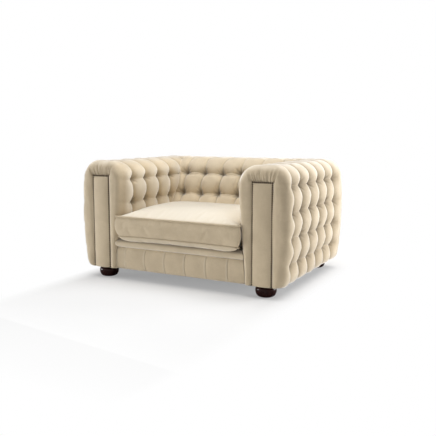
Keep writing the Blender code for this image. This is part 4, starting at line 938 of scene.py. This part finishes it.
def border_cover():
    """Sections (y, z) from left to right, with six narrow folds; each fold bows a little, as hand-laid pleats do."""
    half = float(arm_inner_x(RAIL_TOP)) - SOFT_GAP
    x = knots_dense([-half, *(BACK_PLEATS - KNOT_SHIFT), half], [10, 26, 26, 26, 26, 26, 12], 0.8)
    face, rear, top = FRONT_Y + BORDER_FACE, POST_FRONT - GAP, RAIL_TOP - GAP
    turn = np.linspace(-math.pi / 2, math.pi / 2, 41)
    z = BASE_Z + (top - BASE_Z) * (0.5 + 0.5 * np.sign(turn) * np.abs(np.sin(turn)) ** 0.75)
    lift = (z - BASE_Z) / (top - BASE_Z)
    y = face + BORDER_EASE * (np.abs(2.0 * lift - 1.0) ** 7)
    bow = np.linspace(BORDER_BOW_FIRST, BORDER_BOW_LAST, 6) * np.sin(math.pi * lift)[:, None]
    side, _ = nearest_line(x[:, None], BACK_PLEATS[None, :] - BORDER_SHIFT - bow)
    groove = LAP_DROP * bell(side - LAP_BESIDE, 0.0030) - LAP_STEP * bell(side + LAP_BESIDE, 0.0034)
    crown = (BORDER_CROWN * crease(np.minimum(np.abs(side) / COLUMN_PITCH_BACK, 0.5))
             + lumps(x[:, None], z[None, :], BORDER_LUMPS, 0.09, 3))
    # Painted light: painted shade just on the +X side of each seam, a painted highlight just on its -X side, and the
    # whole border a touch paler.
    fold = LAP_SHADE * bell(side - LAP_BESIDE, 0.003) - LAP_PAINTED_HIGHLIGHT * bell(side + LAP_BESIDE, 0.004) - BORDER_PAINTED_HIGHLIGHT
    stretch = (np.abs(x[:, None]) / half) ** 12 * (between_arms(y, z) - ARM_CLEAR - half)[None, :]
    front = grid_points(x[:, None] + np.sign(x)[:, None] * stretch, y[None, :] + (groove + crown), z[None, :])
    middle = 0.5 * (top + BASE_Z)
    rear_z = np.array([top, middle + 0.02, middle, middle - 0.02, BASE_Z + 0.01, BASE_Z])
    behind = grid_points(x[:, None], rear, rear_z[None, :])
    return add_columns(front, fold, behind)


points, fold = border_cover()
border = loft("front_border_cover", points, cover, fold)
dress(border, "chair", "velvet", "front_border")

# %% Draw the roll
ROLL_TALL, ROLL_BEHIND, ROLL_TAIL, ROLL_LUMPS = 0.045, 0.003, 0.035, 0.0011
ROLL_SHADE, FRONT_ROLL_PAINTED_HIGHLIGHT, SHADE_FROM, SHADE_REACH = 1.02, 0.12, 0.024, 0.020


def roll_cover():
    """A half round of the roll's height, with a flat tail behind it, carried from arm to arm."""
    low = RAIL_TOP + GAP
    turn = np.linspace(-math.pi / 2, math.pi / 2, 33)
    y = FRONT_Y + ROLL_BEHIND + ROLL_TALL / 2 * (1.0 - np.cos(turn))
    z = low + ROLL_TALL / 2 * (1.0 + np.sin(turn))
    tail = POST_FRONT + ROLL_TAIL
    y = np.concatenate([y, [POST_FRONT, tail, tail, tail, POST_FRONT]])
    z = np.concatenate([z, [low + ROLL_TALL, low + ROLL_TALL, low + ROLL_TALL / 2, low, low]])
    t = np.linspace(-1.0, 1.0, 181)
    half = between_arms(np.maximum(y, FRONT_Y + 0.0005), z) - ARM_CLEAR
    points = grid_points(t[:, None] * half[None], y[None, :], z[None, :]).copy()
    points[..., 1] += lumps(points[..., 0], points[..., 2] * 3.0, ROLL_LUMPS, 0.13, 8) * (y < POST_FRONT)[None, :]
    return points


points = roll_cover()
# Painted shade darkens the roll towards its top, under the cushion; below that the roll is painted a little paler.
under_cushion = smoothstep((points[..., 2] - RAIL_TOP - SHADE_FROM) / SHADE_REACH)
roll = loft("front_roll_cover", points, cover, ROLL_SHADE * under_cushion - FRONT_ROLL_PAINTED_HIGHLIGHT)
dress(roll, "chair", "velvet", "front_lip")

# %% Draw the deck
DECK_EDGE, DECK_BULGE = 0.006, 0.003


def slab(low, high, edge, counts, bulge):
    """A thin pad: a section of cos^0.12 across and sin^0.35 up, which is nearly a rectangle, drawn along Y.
    Its ends are rounded by the edge, and its top falls by the bulge from the middle to the sides."""
    low, high = np.asarray(low), np.asarray(high)
    turn = np.linspace(0.0, 2 * math.pi, counts[0] + 1)[:-1]
    across = np.sign(np.cos(turn)) * np.abs(np.cos(turn)) ** 0.12
    upward = np.sign(np.sin(turn)) * np.abs(np.sin(turn)) ** 0.35
    end = np.linspace(0.0, math.pi / 2, 8)
    y = np.concatenate([low[1] + edge * (1 - np.cos(end)),
                        np.linspace(low[1] + edge, high[1] - edge, counts[1])[1:-1],
                        high[1] - edge * (1 - np.cos(end[::-1]))])
    near_end = np.clip(np.maximum(low[1] + edge - y, y - high[1] + edge) / edge, 0, 1)
    inset = edge * (1.0 - np.sqrt(np.clip(1.0 - near_end ** 2, 0, 1)))
    half = (high - low) / 2
    middle = (high + low) / 2
    x = middle[0] + across[None, :] * (half[0] - inset)[:, None]
    z = middle[2] + upward[None, :] * (half[2] - np.minimum(inset, 0.9 * half[2]))[:, None]
    dome = np.cos(0.5 * math.pi * across)[None, :] * np.sin(math.pi * (y - low[1]) / (high[1] - low[1]))[:, None]
    return grid_points(x, y[:, None], z - bulge * (upward > 0)[None, :] * (1.0 - dome))


low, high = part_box("seat_deck")
deck = loft("seat_deck_cover", slab(low, high, DECK_EDGE, (160, 60), DECK_BULGE), deck_cloth)
dress(deck, "chair", "deck_cloth", "seat_deck")

# %% [markdown]
# ## Facings and nails
#
# A slim padded panel covers the raw edge of the cover on each arm front. Close-set nails hold it on both sides and
# across the top; the bottom is open. One domed head is worked out once and set down along the path by adding
# the places to it, so a hundred nails cost a few lines.

# %% Draw the facing panels
FACING_SUNK, FACING_CROWN, FACING_EDGE, FACING_BACK = 0.0085, 0.010, 0.0095, 0.0150
FACING_LUMPS = 0.0004


def facing_cover(centre, seed):
    """A panel crowned across as 1 - |u|^2.4 and flattened at its top, with a flat back.
    Its edges lie behind the arm front, so the arm swells round it."""
    u = np.sin(np.linspace(-0.5, 0.5, 31) * math.pi)
    v = np.linspace(0.0, 1.0, 121)
    z = BASE_Z + (FACING_TOP - BASE_Z) * v
    swell = (1.0 - np.abs(u) ** 2.4)[None, :] * (1.0 - np.clip(2.0 * v - 1.0, 0.0, 1.0) ** 12)[:, None]
    plane = FRONT_Y - GAP
    uneven = lumps(u[None, :] * FACING_HALF, z[:, None], FACING_LUMPS, 0.07, seed)
    y = plane + FACING_SUNK - FACING_CROWN * swell + uneven
    y[:, [0, -1]] = plane + FACING_EDGE
    x = centre + FACING_HALF * u
    front = grid_points(x[None, :], y, z[:, None])
    rear = grid_points(x[::-1][None, ::6], plane + FACING_BACK, z[:, None])
    return np.concatenate([front, rear], axis=1)


for side, sign in (("left", -1.0), ("right", 1.0)):
    facing = loft(side + "_facing_cover", facing_cover(sign * ARM_MIDDLE, 31), cover)
    dress(facing, "chair", "velvet", side + "_arm_facing")

# %% Set the nails
NAIL_PITCH, NAIL_RADIUS, NAIL_TALL, NAIL_TIP = 0.0107, 0.0041, 0.0036, 0.08
NAIL_INSET, NAIL_SUNK, FIRST_NAIL = 0.0021, 0.0075, 0.006


def nail_places(centre, pitch):
    """Points along the left side, the top and the right side of a facing, at an even pitch."""
    edge, top = FACING_HALF - NAIL_INSET, FACING_TOP - NAIL_INSET
    up = np.linspace(BASE_Z + FIRST_NAIL, top, int(round((top - BASE_Z) / pitch)))
    over = np.linspace(-edge, edge, int(round(2 * edge / pitch)) + 1)[1:-1]
    x = np.concatenate([np.full(len(up), -edge), over, np.full(len(up), edge)])
    z = np.concatenate([up, np.full(len(over), top), up])
    return np.column_stack([centre + x, np.full(len(x), FRONT_Y + NAIL_SUNK), z])


def nail_heads(name, places, radius, tall, seed):
    """Domed heads: rings at radius * cos and height * sin of the same angle, one copy per place, slightly tipped."""
    rng = np.random.default_rng(seed)
    angle = np.radians([-20.0, 8.0, 38.0, 66.0])[:, None]
    turn = np.linspace(0.0, 2 * math.pi, 11)[:-1]
    ring = grid_points(np.cos(angle) * np.cos(turn), -np.sin(angle), np.cos(angle) * np.sin(turn)).reshape(-1, 3)
    head = np.concatenate([ring, [[0.0, 0.34, 0.0], [0.0, -1.0, 0.0]]]) * np.array([radius, tall, radius])
    tip = rng.normal(0.0, NAIL_TIP, (len(places), 1, 2))
    cloud = np.repeat(head[None], len(places), axis=0)
    cloud[..., 1] += np.sum(cloud[..., [0, 2]] * tip, axis=-1)
    faces = [f[None] + (np.arange(len(places)) * len(head))[:, None, None] for f in loft_faces(len(angle), len(turn))]
    points = (places[:, None] + cloud).reshape(-1, 3)
    return put_mesh(name, points, [f.reshape(-1, f.shape[-1]) for f in faces], bronze)


for side, sign in (("left", -1.0), ("right", 1.0)):
    places = nail_places(sign * ARM_MIDDLE, NAIL_PITCH)
    nails = nail_heads(side + "_facing_nails", places, NAIL_RADIUS, NAIL_TALL, 41)
    dress(nails, "chair", "bronze", side + "_arm_nail_strip")

# %% [markdown]
# ## Outside back and cover cloth
#
# The outside back is a plain tight panel between the rounded rear edges of the arms.
# Under the chair a thin black cloth is stapled to the frame and keeps the dust out.

# %% Draw the outside back
PANEL_INSET, PANEL_FOOT, PANEL_EDGE, PANEL_LUMPS = 0.062, 0.004, 0.18, 0.0008


def outside_back(seed):
    """A panel crowned as (1 - u^6)(1 - v^6), as wide as the arms are apart at each height."""
    u, v = np.sin(np.linspace(-0.5, 0.5, 101) * math.pi), np.sin(np.linspace(-0.5, 0.5, 71) * math.pi)
    low, high, plane = BASE_Z + PANEL_FOOT, CHAIR_HEIGHT - PANEL_INSET, REAR_Y + GAP
    z = ((low + high) / 2 + (high - low) / 2 * v)[:, None]
    half = arm_outer_x(np.maximum(z, BASE_Z + UNDER_ROLL_HEIGHT)) - PANEL_INSET
    swell = (1.0 - np.abs(u) ** 6)[None, :] * (1.0 - np.abs(v) ** 6)[:, None]
    x = half * u[None, :]
    y = (plane + REAR_PANEL * (PANEL_EDGE + (1.0 - PANEL_EDGE) * swell)
         - np.abs(lumps(x, z, PANEL_LUMPS, 0.22, seed)) * swell)
    return np.concatenate([grid_points(x, y, z), grid_points(x[:, ::-10], plane, z)], axis=1)


rear_panel = loft("outside_back_cover", outside_back(17), cover)
dress(rear_panel, "chair", "velvet", "outside_back_panel")

# %% Stretch the cover cloth
CLOTH_ACROSS, CLOTH_ALONG, CLOTH_THICK, PUCKER = 90, 66, 0.0006, 0.0002
low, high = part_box("dust_cover")
u, v = np.meshgrid(np.linspace(low[0], high[0], CLOTH_ACROSS), np.linspace(low[1], high[1], CLOTH_ALONG), indexing="ij")
taut = np.minimum(np.minimum(u - low[0], high[0] - u), np.minimum(v - low[1], high[1] - v))
w = (low[2] + high[2]) / 2 + PUCKER * np.sin(u * 70.0 + 9.0 * v) * np.exp(-taut / 0.05)
i, j = np.meshgrid(np.arange(CLOTH_ACROSS - 1) * CLOTH_ALONG, np.arange(CLOTH_ALONG - 1), indexing="ij")
sheet_faces = np.stack([i + j, i + CLOTH_ALONG + j, i + CLOTH_ALONG + j + 1, i + j + 1], -1).reshape(-1, 4)
dust = put_mesh("dust_cover_cloth", np.stack([u, v, w], -1).reshape(-1, 3), [sheet_faces], cover_cloth)
wall = dust.modifiers.new("Cloth thickness", "SOLIDIFY")
wall.thickness, wall.offset = CLOTH_THICK, 0.0
dress(dust, "chair", "cover_cloth", "dust_cover")

# %% [markdown]
# ## Bun feet
#
# A bun foot is turned on a lathe, so one profile carried round an axis gives it. The flattened ball stands on a
# narrower sole, and a small step near the top catches the light.

# %% Turn the feet
BUN_RADIUS, BUN_TALL = 0.0552, 0.060


def bun_profile():
    """Radius and height from the sole up: a ball flattened by 0.62 + 0.38 cos, and a small bead under the top plate."""
    angle = np.radians(np.linspace(-74.0, 58.0, 40))
    radius = BUN_RADIUS * (0.62 + 0.38 * np.cos(angle))
    height = BUN_TALL * (0.58 + np.where(angle > 0, 0.42, 0.56) * np.sin(angle))
    sole = [(0.020, 0.0), (0.033, 0.0), (0.0352, 0.0006)]
    crown = [(0.0468, 0.0564), (0.0464, 0.0572), (0.0464, 0.0592), (0.0456, 0.0598), (0.020, 0.0598)]
    return np.array(sole + list(zip(radius, np.maximum(height, 0.0012))) + crown)


profile = bun_profile()
turn = np.linspace(0.0, 2 * math.pi, 73)[:-1]
for node in [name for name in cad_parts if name.startswith("bun_foot")]:
    low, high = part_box(node)
    centre = (low + high) / 2
    rings = grid_points(centre[0] + profile[:, :1] * np.cos(turn), centre[1] + profile[:, :1] * np.sin(turn),
                        profile[:, 1:])
    dress(loft(node + "_turned", rings, dark_wood), "chair", "dark_wood", node)

# %% [markdown]
# ## Studio
#
# The picture was taken from a little above the seat, to the right of the middle. The camera stands there with the
# same lens. A wide soft lamp hangs overhead, a low one shines along the right side from behind, another stands low at
# the left front, and a faint one is the light that the floor throws back.
# Camera rays that miss the chair see white; everything else sees a dimmer sky, so the white does not flood the chair.

# %% Camera
PICTURE, FOCAL, CENTRE_ACROSS, CENTRE_DOWN, SENSOR = 436, 617.3, 215.02, 216.93, 36.0
AZIMUTH, ELEVATION, DISTANCE = math.radians(28.05), math.radians(8.0), 3.6926
LOOKED_AT = np.array([0.0, FRONT_Y + 0.45, 0.33])


def aim(obj, location, target):
    """Object looks from location at target: its -Z axis points along the difference."""
    obj.location = location
    run = np.asarray(target) - np.asarray(location)
    obj.rotation_euler = (math.acos(-run[2] / np.linalg.norm(run)), 0.0, math.atan2(run[0], -run[1]) + math.pi)


towards = np.array([math.sin(AZIMUTH) * math.cos(ELEVATION), -math.cos(AZIMUTH) * math.cos(ELEVATION),
                    math.sin(ELEVATION)])
camera = bpy.data.objects.new("camera", bpy.data.cameras.new("camera"))
camera.data.sensor_width, camera.data.lens = SENSOR, FOCAL / PICTURE * SENSOR
camera.data.shift_x = (PICTURE / 2 - CENTRE_ACROSS) / PICTURE
camera.data.shift_y = -(PICTURE / 2 - CENTRE_DOWN) / PICTURE
aim(camera, LOOKED_AT + DISTANCE * towards, LOOKED_AT)
bpy.context.scene.collection.objects.link(camera)
bpy.context.scene.camera = camera
print("camera at", [round(float(v), 3) for v in camera.location])

# %% Floor
FLOOR_VEIL, FOOTPRINT, VEIL_SLOPE, VEIL_REACH = 0.31, (0.555, 0.44, 0.0), (5.2, 0.55, 0.0), 0.75
FLOOR_EDGE, WHITE = 12.0, (1.0, 1.0, 1.0, 1.0)
floor_stuff, tree, shader = material("studio_floor", 0.9, Specular_IOR_Level=0.0)
tone = remap(tree, noise(tree, 3.0), 0.3, 0.7)
paint(tree, shader, mix(tree, tone, (0.79, 0.79, 0.79, 1.0), (0.81, 0.81, 0.81, 1.0)))
# Camera rays see a share of plain white emission on the floor: all of it far from the footprint, and FLOOR_VEIL of it
# at the footprint, where it lightens the chair's shadow as painted light.
outside = add_node(tree, "ShaderNodeVectorMath", {0: where(tree)}, operation="ABSOLUTE").outputs["Vector"]
for operation, amount in (("SUBTRACT", FOOTPRINT), ("MULTIPLY", VEIL_SLOPE), ("MAXIMUM", (0.0, 0.0, 0.0))):
    outside = add_node(tree, "ShaderNodeVectorMath", {0: outside, 1: amount}, operation=operation).outputs["Vector"]
reach = add_node(tree, "ShaderNodeVectorMath", {0: outside}, operation="LENGTH").outputs["Value"]
veil = remap(tree, reach, 0.0, VEIL_REACH, FLOOR_VEIL, 1.0)
path = add_node(tree, "ShaderNodeLightPath")
seen = maths(tree, "MULTIPLY", veil, path.outputs["Is Camera Ray"])
white = add_node(tree, "ShaderNodeEmission", {"Color": WHITE, "Strength": 1.0})
both = add_node(tree, "ShaderNodeMixShader", {0: seen, 1: shader.outputs["BSDF"], 2: white.outputs["Emission"]})
tree.links.new(both.outputs["Shader"], tree.nodes["Material Output"].inputs["Surface"])
corners = np.array([[-1.0, -1.0, 0.0], [1.0, -1.0, 0.0], [1.0, 1.0, 0.0], [-1.0, 1.0, 0.0]])
floor = put_mesh("floor", FLOOR_EDGE * corners, [np.array([[0, 1, 2, 3]])], floor_stuff)
floor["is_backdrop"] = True
print("floor is %.0f m wide" % (2 * FLOOR_EDGE))

# %% Sky and lamps
SKY = 0.25
LAMPS = {"overhead": ((0.2, 0.10, 3.1), (0.0, 0.0, 0.4), 2.8, 2.4, 98.0),
         "right_side": ((3.7, 2.6, 0.88), (0.6, 0.0, 0.40), 2.0, 1.2, 197.0),
         "left_side": ((-5.6, -2.3, 0.50), (0.0, 0.0, 0.35), 1.8, 0.9, 184.0),
         "floor_bounce": ((-0.15, -1.35, 0.03), (0.0, -0.45, 0.30), 2.4, 0.5, 2.0)}
world = bpy.data.worlds.new("studio_sky")
bpy.context.scene.world = world
world.use_nodes = True
tree = world.node_tree
path = add_node(tree, "ShaderNodeLightPath")
shown = path.outputs["Is Camera Ray"]
for ray in ("Is Transmission Ray", "Is Glossy Ray"):
    shown = maths(tree, "MAXIMUM", shown, path.outputs[ray])
tree.links.new(remap(tree, shown, 0.0, 1.0, SKY, 1.0), tree.nodes["Background"].inputs["Strength"])
tree.nodes["Background"].inputs["Color"].default_value = WHITE

for name, (location, target, wide, tall, watts) in LAMPS.items():
    lamp = bpy.data.lights.new(name, "AREA")
    lamp.shape, lamp.size, lamp.size_y, lamp.energy = "RECTANGLE", wide, tall, watts
    obj = bpy.data.objects.new(name, lamp)
    aim(obj, location, target)
    bpy.context.scene.collection.objects.link(obj)
print("lamps:", ", ".join(LAMPS))

# %% [markdown]
# ## Check and finish
#
# Colours are shown as they are written, so the view transform is Standard.
# Last we compare the box of the dressed chair with the box of its solids.

# %% Compare the boxes
bpy.context.scene.view_settings.view_transform = "Standard"
dressed_low, dressed_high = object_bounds()
proud = np.concatenate([solid_low - dressed_low, dressed_high - solid_high])
print("dressed chair stands proud by", [round(float(v) * 1000, 1) for v in proud], "mm")
